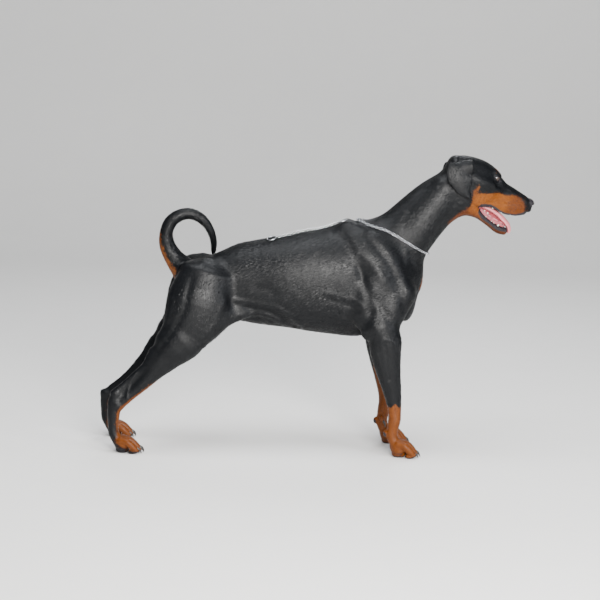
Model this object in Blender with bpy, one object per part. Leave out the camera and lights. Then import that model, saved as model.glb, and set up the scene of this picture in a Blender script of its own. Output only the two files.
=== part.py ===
"""A life-size still model of a female doberman pinscher in show pose with a chain collar.

Every solid is a named object; sizes are in metres, +X points to the head and +Z up.
"""

import math

import bmesh
import bpy
import numpy as np
from mathutils import Matrix, Vector
from mathutils.bvhtree import BVHTree

# Driving sizes in metres and degrees
GAP = 0.0003
CELL = 0.005
FLESH_TRIANGLES = 2500
SMOOTH_REACH = 0.04
HEAD_ORIGIN = (0.504, 0.0, 0.7655)
HEAD_PITCH = 25.0
HEAD_YAW = 7.0
HEAD_PIVOT_X = 0.420
FRONT_FOOT_Y = 0.081
HIND_FOOT_Y = 0.094
FAR_FRONT_BACK = 0.018
FAR_HIND_BACK = 0.031
FAR_EAR_AHEAD = (0.0, 0.004, 0.010, 0.013, 0.013, 0.013, 0.013, 0.013)
EYE_RADIUS = 0.0108
EYE_CENTRE = (0.0175, 0.0270, 0.0350)
CHAIN_RADIUS = 0.0040
CHAIN_CLEARANCE = 0.0045
RING_RADIUS = 0.0125
RING_WIRE = 0.0018

# Colours of the materials
BLACK_COAT = (0.012, 0.012, 0.014)
RUST_COAT = (0.30, 0.11, 0.035)
CLAW_BLACK = (0.020, 0.018, 0.017)
EYE_BROWN = (0.045, 0.020, 0.010)
NOSE_BLACK = (0.016, 0.016, 0.018)
TONGUE_PINK = (0.72, 0.28, 0.30)
STEEL = (0.60, 0.61, 0.63)


# Curves and distances to swept bodies
def spline(rows, steps=3):
    """Rows of numbers joined by a smooth curve through each row."""
    rows = np.array(rows, float)
    full = np.vstack([2 * rows[0] - rows[1], rows, 2 * rows[-1] - rows[-2]])
    out = []
    for i in range(len(rows) - 1):
        a, b, c, d = full[i:i + 4]
        for s in np.arange(steps) / steps:
            out.append(0.5 * (2 * b + (c - a) * s + (2 * a - 5 * b + 4 * c - d) * s ** 2
                              + (3 * b - a - 3 * c + d) * s ** 3))
    out.append(rows[-1])
    return np.array(out)


def unit(v):
    return v / np.maximum(np.linalg.norm(v, axis=-1, keepdims=True), 1e-12)


def rounded(q, w, n):
    """Signed distance, to first order, of offsets q from a rounded body with half sizes w."""
    u = np.abs(q) / w
    k = np.maximum((u ** n).sum(1), 1e-9) ** (1 / n)
    slope = np.sqrt(((u ** (n - 1) / w) ** 2).sum(1)) * k ** (1 - n)
    return (k - 1) / np.maximum(slope, 1e-9)


class Sweep:
    """A body swept along a curve; rows are x, y, z, half width, size above and size below."""

    def __init__(self, rows, blend=0.02, power=2.0, caps=(0.02, 0.02), side=(0, 1, 0), steps=3):
        data = spline(rows, steps)
        self.line = data[:, :3]
        self.size = np.maximum(data[:, 3:6], 0.0008)
        self.along = unit(np.gradient(self.line, axis=0))
        self.up = unit(np.cross(self.along, np.array(side, float)))
        self.side = unit(np.cross(self.up, self.along))
        self.blend, self.power, self.caps = blend, power, caps
        reach = self.size.max() + max(caps)
        self.low = self.line.min(0) - reach
        self.high = self.line.max(0) + reach

    def distance(self, p):
        best = np.full(len(p), 1e9)
        t = np.zeros(len(p))
        for i in range(len(self.line) - 1):
            edge = self.line[i + 1] - self.line[i]
            s = np.clip((p - self.line[i]) @ edge / (edge @ edge), 0, 1)
            away = p - self.line[i] - s[:, None] * edge
            d = (away * away).sum(1)
            closer = d < best
            best[closer] = d[closer]
            t[closer] = i + s[closer]
        last = len(self.line) - 1
        i = np.minimum(t.astype(int), last - 1)
        f = (t - i)[:, None]

        def at(a):
            return a[i] * (1 - f) + a[i + 1] * f

        q = p - at(self.line)
        a = (q * unit(at(self.side))).sum(1)
        b = (q * unit(at(self.up))).sum(1)
        c = (q * at(self.along)).sum(1)
        size = at(self.size)
        c = np.where((t <= 0) | (t >= last), c, 0.0)
        w = np.stack([size[:, 0], np.where(b > 0, size[:, 1], size[:, 2]),
                      np.where(t <= 0, self.caps[0], self.caps[1])], 1)
        return rounded(np.stack([a, b, c], 1), w, self.power)


class Ball:
    """An ellipsoid with three half sizes, turned about its own y axis by pitch degrees."""

    def __init__(self, centre, sizes, blend=0.02, pitch=0.0, power=2.0, turn=0.0):
        self.centre, self.sizes = np.array(centre, float), np.array(sizes, float)
        self.blend, self.power = blend, power
        spin = Matrix.Rotation(math.radians(turn), 3, "Z") @ Matrix.Rotation(math.radians(pitch), 3, "Y")
        self.turn = np.array(spin)
        self.low = self.centre - self.sizes.max()
        self.high = self.centre + self.sizes.max()

    def distance(self, p):
        return rounded((p - self.centre) @ self.turn, self.sizes, self.power)


def smooth_min(a, b, k):
    h = np.clip(0.5 + 0.5 * (b - a) / k, 0, 1)
    return b + (a - b) * h - k * h * (1 - h)


def nearby(shape, p, reach):
    return np.flatnonzero(((p > shape.low - reach) & (p < shape.high + reach)).all(1))


def union(shapes, p, reach=SMOOTH_REACH):
    d = np.full(len(p), reach)
    for shape in shapes:
        k = nearby(shape, p, reach)
        if len(k):
            d[k] = smooth_min(d[k], shape.distance(p[k]), shape.blend)
    return d


def carve(d, shapes, p):
    for shape in shapes:
        k = nearby(shape, p, SMOOTH_REACH)
        if len(k):
            d[k] = -smooth_min(-d[k], shape.distance(p[k]), shape.blend)
    return d


# The frame of the head, nose down and turned to the dog's left
def head_axes():
    pitch, yaw = math.radians(HEAD_PITCH), math.radians(HEAD_YAW)
    tilt = np.array(Matrix.Rotation(pitch, 3, "Y"))
    spin = np.array(Matrix.Rotation(yaw, 3, "Z"))
    pivot = np.array([HEAD_PIVOT_X, 0, 0])
    origin = spin @ (np.array(HEAD_ORIGIN) - pivot) + pivot
    return spin @ tilt, origin


HEAD_TURN, HEAD_PLACE = head_axes()


def to_head(p):
    return (p - HEAD_PLACE) @ HEAD_TURN


def from_head(q):
    return np.asarray(q, float) @ HEAD_TURN.T + HEAD_PLACE


# The flesh of the dog, each list joined smoothly in turn
def mid(rows):
    return [(x, 0.0, z, w, up, down) for x, z, w, up, down in rows]


def trunk_shapes():
    barrel = mid([(0.285, 0.470, 0.060, 0.085, 0.088), (0.235, 0.480, 0.080, 0.126, 0.128),
                  (0.170, 0.485, 0.092, 0.150, 0.152), (0.100, 0.485, 0.099, 0.147, 0.150),
                  (0.030, 0.482, 0.102, 0.143, 0.147), (-0.040, 0.477, 0.100, 0.128, 0.135),
                  (-0.110, 0.472, 0.091, 0.116, 0.126), (-0.180, 0.470, 0.082, 0.102, 0.113),
                  (-0.250, 0.470, 0.076, 0.086, 0.080), (-0.310, 0.468, 0.066, 0.069, 0.060)])
    shapes = [Sweep(barrel, 0.02, 2.15, (0.050, 0.038)),
              Ball((0.150, 0, 0.602), (0.090, 0.038, 0.052), 0.030),
              Ball((0.319, 0, 0.498), (0.018, 0.024, 0.030), 0.028),
              Ball((0.298, 0, 0.415), (0.022, 0.040, 0.040), 0.024),
              Ball((0.150, 0, 0.362), (0.090, 0.030, 0.026), 0.028)]
    for s in (-1, 1):
        blade = [(0.120, 0.030 * s, 0.632, 0.014, 0.030, 0.034),
                 (0.170, 0.052 * s, 0.590, 0.022, 0.044, 0.050),
                 (0.225, 0.068 * s, 0.530, 0.027, 0.050, 0.052),
                 (0.280, 0.066 * s, 0.470, 0.030, 0.040, 0.042)]
        arm = [(0.285, 0.066 * s, 0.466, 0.033, 0.038, 0.040), (0.250, 0.077 * s, 0.415, 0.034, 0.046, 0.044),
               (0.214, 0.086 * s, 0.362, 0.029, 0.046, 0.034)]
        shapes += [Sweep(blade, 0.022, 2.0, (0.02, 0.03)), Sweep(arm, 0.022, 2.0, (0.03, 0.02)),
                   Ball((0.200, 0.078 * s, 0.440), (0.052, 0.030, 0.090), 0.022, 12),
                   Ball((0.186, 0.088 * s, 0.353), (0.015, 0.014, 0.018), 0.014),
                   Ball((-0.270, 0.048 * s, 0.508), (0.062, 0.032, 0.034), 0.028, 12)]
    return shapes


def neck_shapes():
    rows = mid([(0.215, 0.550, 0.070, 0.088, 0.100), (0.255, 0.590, 0.066, 0.088, 0.094),
                (0.292, 0.629, 0.059, 0.080, 0.084), (0.335, 0.677, 0.053, 0.073, 0.076),
                (0.375, 0.715, 0.049, 0.069, 0.071), (0.425, 0.755, 0.046, 0.061, 0.078)])
    shapes = [Sweep(rows, 0.045, 2.0, (0.03, 0.03))]
    for s in (-1, 1):
        muscle = [(0.400, 0.030 * s, 0.760, 0.018, 0.030, 0.030),
                  (0.330, 0.040 * s, 0.650, 0.017, 0.030, 0.030),
                  (0.295, 0.030 * s, 0.560, 0.017, 0.028, 0.028)]
        shapes.append(Sweep(muscle, 0.025, 2.0, (0.02, 0.02)))
    return shapes


def toe_rows(x, y, spread, lift, size):
    """A toe from the middle of the paw over the knuckle to its tip."""
    return [(x - 0.016, y + 0.55 * spread, 0.040 * lift, size, size, size),
            (x + 0.004, y + 0.90 * spread, 0.034 * lift, 1.06 * size, size, 1.1 * size),
            (x + 0.018, y + spread, 0.021 * lift, size, 0.95 * size, size),
            (x + 0.027, y + spread, 0.0115 * lift, 0.84 * size, 0.8 * size, 0.8 * size)]


TOES = (-1.5, -0.5, 0.5, 1.5)


def paw_shapes(x, y, scale):
    shapes = [Ball((x - 0.018, y, 0.024 * scale), (0.024 * scale, 0.026 * scale, 0.022 * scale), 0.012),
              Ball((x - 0.018, y, 0.007), (0.020 * scale, 0.019 * scale, 0.012), 0.006)]
    for i in TOES:
        reach = x - 0.0065 * (abs(i) - 0.5)
        spread = 0.0150 * i * scale
        shapes.append(Sweep(toe_rows(reach, y, spread, scale, 0.0118 * scale), 0.006, 2.0, (0.006, 0.010)))
        shapes.append(Ball((reach + 0.018, y + spread, 0.007), (0.013, 0.0088, 0.0095), 0.004))
    return shapes


def front_leg(s):
    dx = -FAR_FRONT_BACK if s > 0 else 0.0
    foot = FRONT_FOOT_Y
    rows = [(0.225, 0.088, 0.368, 0.030, 0.042, 0.036), (0.236, 0.088, 0.335, 0.0325, 0.0485, 0.045),
            (0.2400, 0.087, 0.300, 0.0305, 0.0455, 0.0435), (0.2495, 0.086, 0.250, 0.0265, 0.0365, 0.0360),
            (0.2600, 0.084, 0.204, 0.0225, 0.0290, 0.0290), (0.2685, 0.082, 0.162, 0.0190, 0.0230, 0.0230),
            (0.2725, foot, 0.130, 0.0190, 0.0190, 0.0190), (0.2725, foot, 0.105, 0.0205, 0.0188, 0.0188),
            (0.2690, foot, 0.080, 0.0180, 0.0170, 0.0172), (0.2690, foot, 0.056, 0.0175, 0.0165, 0.0168),
            (0.2800, foot, 0.036, 0.0200, 0.0170, 0.0170)]
    share = np.clip([(0.34 - r[2]) / 0.24 for r in rows], 0, 1)
    rows = [(r[0] + dx * f, r[1] * s, *r[2:]) for r, f in zip(rows, share)]
    pad = (0.2500 + dx, foot * s, 0.066)
    dew = (0.2660 + dx, (foot - 0.021) * s, 0.074)
    return [Sweep(rows, 0.016, 2.0, (0.03, 0.012)), *paw_shapes(0.306 + dx, foot * s, 1.0),
            Ball(pad, (0.0085, 0.0080, 0.0110), 0.006), Ball(dew, (0.0075, 0.0070, 0.0130), 0.006, -15)]


# Tendon and thin web above each hock; the near hock, at -1, stands higher than the far one
HIND_TENDON = {-1: [(-0.400, 0.091, 0.285, 0.016, 0.022, 0.022), (-0.428, 0.092, 0.245, 0.011, 0.014, 0.014),
                    (-0.460, 0.092, 0.220, 0.0075, 0.0085, 0.0075), (-0.491, 0.094, 0.190, 0.0070, 0.0070, 0.0065),
                    (-0.514, 0.094, 0.170, 0.0095, 0.0090, 0.0090)],
               1: [(-0.400, 0.091, 0.279, 0.016, 0.022, 0.022), (-0.428, 0.092, 0.229, 0.011, 0.014, 0.014),
                   (-0.460, 0.092, 0.186, 0.0075, 0.0085, 0.0075), (-0.496, 0.094, 0.147, 0.0068, 0.0070, 0.0065),
                   (-0.523, 0.094, 0.127, 0.0095, 0.0090, 0.0090)]}
HIND_WEB = {-1: [(-0.425, 0.092, 0.223, 0.010, 0.026, 0.026), (-0.460, 0.092, 0.192, 0.0080, 0.026, 0.026),
                 (-0.497, 0.094, 0.163, 0.0095, 0.025, 0.024)],
            1: [(-0.425, 0.092, 0.212, 0.010, 0.022, 0.024), (-0.460, 0.092, 0.172, 0.0080, 0.018, 0.018),
                (-0.500, 0.094, 0.139, 0.0095, 0.015, 0.014)]}
HOCK_DROP = 0.010


def hind_leg(s):
    back = -FAR_HIND_BACK if s > 0 else 0.0
    foot = HIND_FOOT_Y
    drop = HOCK_DROP if s > 0 else 0.0

    def place(rows):
        share = [min(max((0.31 - r[2]) / 0.18, 0), 1) for r in rows]
        return [(r[0] + back * f, r[1] * s, *r[2:]) for r, f in zip(rows, share)]

    thigh = [(-0.262, 0.058, 0.500, 0.044, 0.070, 0.076), (-0.280, 0.074, 0.440, 0.047, 0.086, 0.090),
             (-0.296, 0.082, 0.385, 0.043, 0.084, 0.086), (-0.316, 0.086, 0.340, 0.037, 0.066, 0.076),
             (-0.342, 0.088, 0.306, 0.033, 0.050, 0.060)]
    shank = [(-0.330, 0.088, 0.320, 0.034, 0.048, 0.054), (-0.3550, 0.089, 0.2960, 0.0330, 0.050, 0.052),
             (-0.3810, 0.090, 0.2650, 0.0285, 0.043, 0.043), (-0.4070, 0.091, 0.2300, 0.0225, 0.0285, 0.029),
             (-0.4340, 0.092, 0.1965 - 0.6 * drop, 0.0175, 0.0190, 0.0185),
             (-0.4680, 0.092, 0.1640 - drop, 0.0148, 0.0150, 0.0135),
             (-0.5000, foot, 0.1335 - drop, 0.0165, 0.0155, 0.0155)]
    heel = [(-0.5100, foot, 0.127, 0.0165, 0.0190, 0.0215)] if s > 0 else \
        [(-0.5105, foot, 0.166, 0.0125, 0.0130, 0.0140), (-0.5120, foot, 0.142, 0.0150, 0.0175, 0.0205)]
    cannon = [*heel, (-0.5145, foot, 0.108, 0.0158, 0.0180, 0.0190),
              (-0.5155, foot, 0.078, 0.0150, 0.0160, 0.0160), (-0.5130, foot, 0.053, 0.0165, 0.0160, 0.0160),
              (-0.5030, foot, 0.036, 0.0190, 0.0160, 0.0160)]
    knee = place([(-0.306, 0.092, 0.300, 0, 0, 0)])[0][:3]
    fold = [(-0.165, 0.064, 0.407, 0.016, 0.028, 0.026), (-0.205, 0.076, 0.386, 0.016, 0.024, 0.026),
            (-0.250, 0.084, 0.352, 0.018, 0.020, 0.026)]
    return [Sweep(place(thigh), 0.030, 2.1, (0.03, 0.04)), Sweep(place(shank), 0.020, 2.0, (0.03, 0.016)),
            Sweep(place(HIND_WEB[s]), 0.012, 2.0, (0.01, 0.01)),
            Sweep(place(HIND_TENDON[s]), 0.010, 2.0, (0.01, 0.009)),
            Sweep(place(cannon), 0.010, 2.0, (0.009, 0.012)), Ball(knee, (0.020, 0.020, 0.024), 0.020),
            Sweep(place(fold), 0.024, 2.0, (0.02, 0.02)), *paw_shapes(-0.471 + back, foot * s, 0.94)]


TAIL_ROWS = [(-0.300, 0.000, 0.492, 0.030, 0.034, 0.034), (-0.336, 0.000, 0.515, 0.027, 0.032, 0.034),
             (-0.360, 0.000, 0.543, 0.023, 0.026, 0.027), (-0.3765, 0.001, 0.574, 0.020, 0.0225, 0.0225),
             (-0.3805, 0.003, 0.606, 0.018, 0.019, 0.019), (-0.370, 0.006, 0.638, 0.017, 0.0185, 0.0185),
             (-0.347, 0.010, 0.657, 0.016, 0.0175, 0.0175), (-0.320, 0.015, 0.6635, 0.015, 0.0165, 0.0165),
             (-0.294, 0.021, 0.656, 0.0135, 0.0155, 0.0155), (-0.2705, 0.028, 0.637, 0.0125, 0.013, 0.013),
             (-0.2535, 0.038, 0.607, 0.011, 0.011, 0.011), (-0.2465, 0.050, 0.577, 0.0095, 0.0095, 0.0095),
             (-0.2465, 0.062, 0.553, 0.0072, 0.0075, 0.0075)]


def skull_shapes():
    skull = mid([(-0.098, 0.008, 0.038, 0.036, 0.044), (-0.070, 0.011, 0.047, 0.045, 0.050),
                 (-0.030, 0.013, 0.0500, 0.0505, 0.052), (0.003, 0.012, 0.0460, 0.0475, 0.050),
                 (0.026, 0.006, 0.0380, 0.0370, 0.044)])
    muzzle = mid([(0.026, 0.000, 0.0350, 0.0340, 0.038), (0.060, -0.003, 0.0285, 0.0370, 0.034),
                  (0.100, -0.004, 0.0240, 0.0345, 0.032), (0.130, 0.000, 0.0210, 0.0280, 0.0275),
                  (0.145, 0.004, 0.0165, 0.0225, 0.0190)])
    shapes = [Sweep(skull, 0.02, 2.2, (0.022, 0.020)), Sweep(muzzle, 0.020, 2.5, (0.03, 0.012)),
              Ball((0.1465, 0, 0.0145), (0.0140, 0.0145, 0.0118), 0.005)]
    for s in (-1, 1):
        lip = [(0.016, 0.0330 * s, -0.049, 0.0050, 0.014, 0.006),
               (0.045, 0.0290 * s, -0.034, 0.0052, 0.016, 0.0095),
               (0.085, 0.0240 * s, -0.031, 0.0050, 0.016, 0.0110),
               (0.118, 0.0185 * s, -0.027, 0.0048, 0.014, 0.0105),
               (0.138, 0.0095 * s, -0.018, 0.0046, 0.010, 0.0080)]
        arch = [(0.030, 0.0350 * s, 0.013, 0.008, 0.008, 0.009),
                (-0.012, 0.0480 * s, 0.006, 0.009, 0.009, 0.010),
                (-0.055, 0.0430 * s, 0.006, 0.009, 0.009, 0.010)]
        shapes += [Sweep(lip, 0.010, 2.0, (0.006, 0.008)), Sweep(arch, 0.018, 2.0, (0.01, 0.01)),
                   Ball((-0.024, 0.0350 * s, -0.020), (0.050, 0.0185, 0.042), 0.022, 12),
                   Ball((0.0150, 0.0240 * s, 0.0440), (0.017, 0.012, 0.0095), 0.012, 15)]
    return shapes


def jaw_shapes():
    rows = mid([(-0.040, -0.062, 0.036, 0.034, 0.032), (0.002, -0.074, 0.0345, 0.022, 0.020),
                (0.035, -0.0815, 0.0300, 0.0130, 0.0115), (0.070, -0.0880, 0.0235, 0.0110, 0.0110),
                (0.095, -0.0915, 0.0190, 0.0120, 0.0130), (0.1135, -0.0895, 0.0145, 0.0120, 0.0120)])
    return [Sweep(rows, 0.010, 2.3, (0.02, 0.011))]


def mouth_shapes():
    palate = mid([(0.002, -0.048, 0.016, 0.012, 0.016), (0.030, -0.046, 0.0230, 0.018, 0.020),
                  (0.070, -0.047, 0.0205, 0.0215, 0.024), (0.100, -0.047, 0.0165, 0.0215, 0.024),
                  (0.118, -0.046, 0.0115, 0.0180, 0.024)])
    floor = mid([(0.004, -0.056, 0.016, 0.016, 0.012), (0.035, -0.064, 0.0215, 0.016, 0.0125),
                 (0.070, -0.068, 0.0165, 0.016, 0.0150), (0.097, -0.070, 0.0115, 0.016, 0.0145)])
    return [Sweep(palate, 0.004, 2.4, (0.006, 0.006)), Sweep(floor, 0.004, 2.2, (0.006, 0.007))]


EAR_ROWS = [(-0.0880, 0.0260, 0.0250, 0.0180, 0.0075, 0.0075),
            (-0.0925, 0.0400, 0.0300, 0.0250, 0.0048, 0.0048),
            (-0.0945, 0.0530, 0.0205, 0.0315, 0.0038, 0.0038),
            (-0.0900, 0.0575, 0.0015, 0.0375, 0.0031, 0.0031),
            (-0.0740, 0.0605, -0.0160, 0.0330, 0.0029, 0.0029),
            (-0.0565, 0.0605, -0.0350, 0.0215, 0.0027, 0.0027),
            (-0.0375, 0.0580, -0.0455, 0.0100, 0.0025, 0.0025),
            (-0.0275, 0.0560, -0.0500, 0.0045, 0.0022, 0.0022)]


class Body:
    """The whole flesh as one distance field."""

    def __init__(self):
        self.trunk = trunk_shapes() + neck_shapes()
        self.tail = Sweep(TAIL_ROWS, 0.030, 2.0, (0.02, 0.010))
        self.legs = [front_leg(-1), front_leg(1), hind_leg(-1), hind_leg(1)]
        self.skull = skull_shapes()
        self.jaw = jaw_shapes()
        self.mouth = mouth_shapes()
        self.orbits = [Ball((0.031, 0.041 * s, 0.027), (0.016, 0.0105, 0.0120), 0.010) for s in (-1, 1)]

    def __call__(self, p):
        d = union(self.trunk, p)
        near = nearby(self.tail, p, SMOOTH_REACH)
        if len(near):
            root = (np.clip((-0.315 - p[near, 0]) / 0.03, 0.03, 1)
                    * np.clip((0.60 - p[near, 2]) / 0.03, 0.03, 1))
            d[near] = smooth_min(d[near], self.tail.distance(p[near]), 0.030 * root)
        for leg in self.legs:
            d = smooth_min(d, union(leg, p), 0.020)
        near = np.flatnonzero(p[:, 0] > 0.34)
        if len(near):
            q = to_head(p[near])
            head = carve(union(self.skull, q), self.orbits, q)
            head = smooth_min(head, union(self.jaw, q), 0.010)
            head = carve(head, self.mouth, q)
            throat = carve(d[near], self.mouth, q)
            d[near] = smooth_min(throat, head, 0.022)
        return d


# A closed mesh on the zero level of a distance field
CORNERS = np.array([(i, j, k) for i in (0, 1) for j in (0, 1) for k in (0, 1)])
CUBE_EDGES = [(axis, du, dv) for axis in range(3) for du in (0, 1) for dv in (0, 1)]


def corner_of(axis, along, du, dv):
    spot = [0, 0, 0]
    spot[axis], spot[(axis + 1) % 3], spot[(axis + 2) % 3] = along, du, dv
    return 4 * spot[0] + 2 * spot[1] + spot[2]


EDGE_ENDS = [(corner_of(a, 0, du, dv), corner_of(a, 1, du, dv)) for a, du, dv in CUBE_EDGES]


def sheet_table():
    """For each pattern of inside corners, the sheet of surface that each edge of a cube belongs to."""
    sides = [[k for k in range(8) if CORNERS[k][axis] == end] for axis in range(3) for end in (0, 1)]
    table, counts = np.zeros((256, 12), int), np.zeros(256, int)
    for pattern in range(256):
        inside = [bool(pattern >> k & 1) for k in range(8)]
        cross = [e for e, (a, b) in enumerate(EDGE_ENDS) if inside[a] != inside[b]]
        group = {e: e for e in cross}

        def join(e, f):
            old, new = group[f], group[e]
            for g in group:
                if group[g] == old:
                    group[g] = new

        for side in sides:
            on = [e for e in cross if EDGE_ENDS[e][0] in side and EDGE_ENDS[e][1] in side]
            if len(on) == 2:
                join(*on)
            for k in side if len(on) == 4 else ():
                if inside[k]:
                    join(*[e for e in on if k in EDGE_ENDS[e]])
        names = sorted(set(group.values()))
        counts[pattern] = len(names)
        for e in cross:
            table[pattern, e] = names.index(group[e])
    return table, counts


def net(field, low, high, cell, block=4):
    """Points and four-sided faces of the zero level, closed and without pinched edges."""
    low = np.array(low, float)
    blocks = np.ceil((np.array(high) - low) / (cell * block)).astype(int)
    places = np.stack(np.meshgrid(*[np.arange(n) for n in blocks], indexing="ij"), -1)
    middle = (places + 0.5) * cell * block + low
    rough = field(middle.reshape(-1, 3)).reshape(blocks)
    near = np.argwhere(np.abs(rough) < cell * block * 1.05)
    value = np.ones(blocks * block + 1)
    value[:-1, :-1, :-1] = rough.repeat(block, 0).repeat(block, 1).repeat(block, 2)
    wanted = np.zeros(value.shape, bool)
    for step in np.ndindex(block + 1, block + 1, block + 1):
        wanted[tuple((near * block + step).T)] = True
    value[wanted] = field(np.argwhere(wanted) * cell + low)
    inside = value < 0
    pattern = sum(inside[tuple(slice(c, n - 1 + c) for c, n in zip(corner, value.shape))].astype(int) << k
                  for k, corner in enumerate(CORNERS))
    cells = np.argwhere((pattern > 0) & (pattern < 255))
    table, counts = sheet_table()
    pattern = pattern[tuple(cells.T)]
    first = np.concatenate([[0], np.cumsum(counts[pattern])])
    total, hits = np.zeros((first[-1], 3)), np.zeros(first[-1])
    for e, (a, b) in enumerate(EDGE_ENDS):
        va, vb = value[tuple((cells + CORNERS[a]).T)], value[tuple((cells + CORNERS[b]).T)]
        cross = np.flatnonzero((va < 0) != (vb < 0))
        t = va[cross] / (va[cross] - vb[cross])
        spot = first[cross] + table[pattern[cross], e]
        np.add.at(total, spot, cells[cross] + CORNERS[a] + t[:, None] * (CORNERS[b] - CORNERS[a]))
        np.add.at(hits, spot, 1)
    points = total / hits[:, None] * cell + low
    number = np.full(value.shape, -1)
    number[tuple(cells.T)] = np.arange(len(cells))
    faces = []
    for axis in range(3):
        u, v = (axis + 1) % 3, (axis + 2) % 3
        edges = np.argwhere(inside != np.roll(inside, -1, axis))
        edges = edges[(edges[:, axis] < value.shape[axis] - 1) & (edges[:, u] > 0) & (edges[:, v] > 0)]
        ring = []
        for du, dv in ((0, 0), (1, 0), (1, 1), (0, 1)):
            shift = edges.copy()
            shift[:, u] -= du
            shift[:, v] -= dv
            k = number[tuple(shift.T)]
            ring.append(first[k] + table[pattern[k], CUBE_EDGES.index((axis, du, dv))])
        quad = np.stack(ring, 1)
        faces.append(np.where(inside[tuple(edges.T)][:, None], quad, quad[:, ::-1]))
    return points, np.vstack(faces)


def settle(field, points, rounds=2, step=0.0006):
    """Points moved on to the zero level."""
    for _ in range(rounds):
        d = field(points)
        slope = np.stack([field(points + step * e) - field(points - step * e) for e in np.eye(3)], 1)
        slope /= 2 * step
        size = np.maximum((slope ** 2).sum(1), 0.05)
        points = points - np.clip(d / size, -0.004, 0.004)[:, None] * slope
    return points


# Objects, cuts and joints
def new_object(name, points, faces):
    mesh = bpy.data.meshes.new(name)
    mesh.from_pydata([tuple(p) for p in points], [], [tuple(f) for f in faces])
    mesh.update()
    obj = bpy.data.objects.new(name, mesh)
    bpy.context.scene.collection.objects.link(obj)
    return obj


def baked(obj):
    """The object with its modifiers made into plain mesh."""
    view = bpy.context.evaluated_depsgraph_get()
    mesh = bpy.data.meshes.new_from_object(obj.evaluated_get(view))
    obj.modifiers.clear()
    obj.data = mesh
    return obj


def boolean(obj, tool, operation, drop=True):
    change = obj.modifiers.new("cut", "BOOLEAN")
    change.operation, change.solver, change.object = operation, "EXACT", tool
    baked(obj)
    if drop:
        bpy.data.objects.remove(tool)
    return obj


def clone(obj):
    copy = obj.copy()
    copy.data = obj.data.copy()
    bpy.context.scene.collection.objects.link(copy)
    return copy


def slab(centre, normal, across, half_u, half_v, thick=GAP):
    """A thin plate to cut with, across one direction and along another."""
    n = Vector(normal).normalized()
    u = Vector(across)
    u = (u - n * u.dot(n)).normalized()
    v = n.cross(u)
    c = Vector(centre)
    points = [c + n * (i * thick / 2) + u * (j * half_u) + v * (k * half_v) for i, j, k in 2 * CORNERS - 1]
    return points


BOX_FACES = [(0, 1, 3, 2), (4, 6, 7, 5), (0, 4, 5, 1), (2, 3, 7, 6), (0, 2, 6, 4), (1, 5, 7, 3)]


def prism(outline, x0, x1, grow):
    """A block along x over a convex outline of y and z, made larger on every side by grow."""
    outline = [Vector(p) for p in outline]
    area = sum(a.x * b.y - a.y * b.x for a, b in zip(outline, outline[1:] + outline[:1]))
    if area < 0:
        outline.reverse()
    moved = []
    for i, p in enumerate(outline):
        e0 = (p - outline[i - 1]).normalized()
        e1 = (outline[(i + 1) % len(outline)] - p).normalized()
        n0, n1 = Vector((e0.y, -e0.x)), Vector((e1.y, -e1.x))
        moved.append(p + (n0 + n1) * (grow / (1 + n0.dot(n1))))
    n = len(moved)
    points = [(x, p.x, p.y) for x in (x0 - grow, x1 + grow) for p in moved]
    faces = [tuple(range(n))[::-1], tuple(range(n, 2 * n))]
    faces += [(i, (i + 1) % n, n + (i + 1) % n, n + i) for i in range(n)]
    return new_object("block", points, faces)


def parted(obj, outline, x0, x1):
    """The part of an object inside a block, taken off it with a gap."""
    inner = clone(obj)
    boolean(inner, prism(outline, x0, x1, -GAP / 2), "INTERSECT")
    boolean(obj, prism(outline, x0, x1, GAP / 2), "DIFFERENCE")
    return inner


def loose_parts(obj):
    """Each separate closed shell of an object as points and faces."""
    bm = bmesh.new()
    bm.from_mesh(obj.data)
    bm.verts.ensure_lookup_table()
    seen, shells = set(), []
    for start in bm.verts:
        if start.index in seen or not start.link_faces:
            continue
        seen.add(start.index)
        stack, group = [start], []
        while stack:
            v = stack.pop()
            group.append(v)
            for e in v.link_edges:
                o = e.other_vert(v)
                if o.index not in seen:
                    seen.add(o.index)
                    stack.append(o)
        number = {v.index: n for n, v in enumerate(group)}
        faces = {f for v in group for f in v.link_faces}
        faces = sorted(faces, key=lambda f: f.index)
        shells.append(([v.co.copy() for v in group], [[number[v.index] for v in f.verts] for f in faces]))
    bm.free()
    return sorted(shells, key=lambda s: -len(s[0]))


def holds(shell, spot):
    """How deep a spot lies inside a shell, or nothing when it lies outside."""
    tree = BVHTree.FromPolygons(*shell)
    ray, start, hits = Vector((0.31, 0.23, 0.92)).normalized(), Vector(spot), 0
    while True:
        where, _, _, _ = tree.ray_cast(start, ray)
        if where is None:
            break
        hits += 1
        start = where + ray * 1e-6
    return tree.find_nearest(Vector(spot))[3] if hits % 2 else None


def name_shells(shells, seeds):
    named = {}
    for name, spot in seeds.items():
        depths = [(holds(s, spot), i) for i, s in enumerate(shells)]
        depths = [(d, i) for d, i in depths if d is not None]
        if not depths:
            raise RuntimeError(f"no solid holds the spot of {name}")
        shell = shells[min(depths)[1]]
        named[name] = new_object(name, *shell)
    return named


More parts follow.
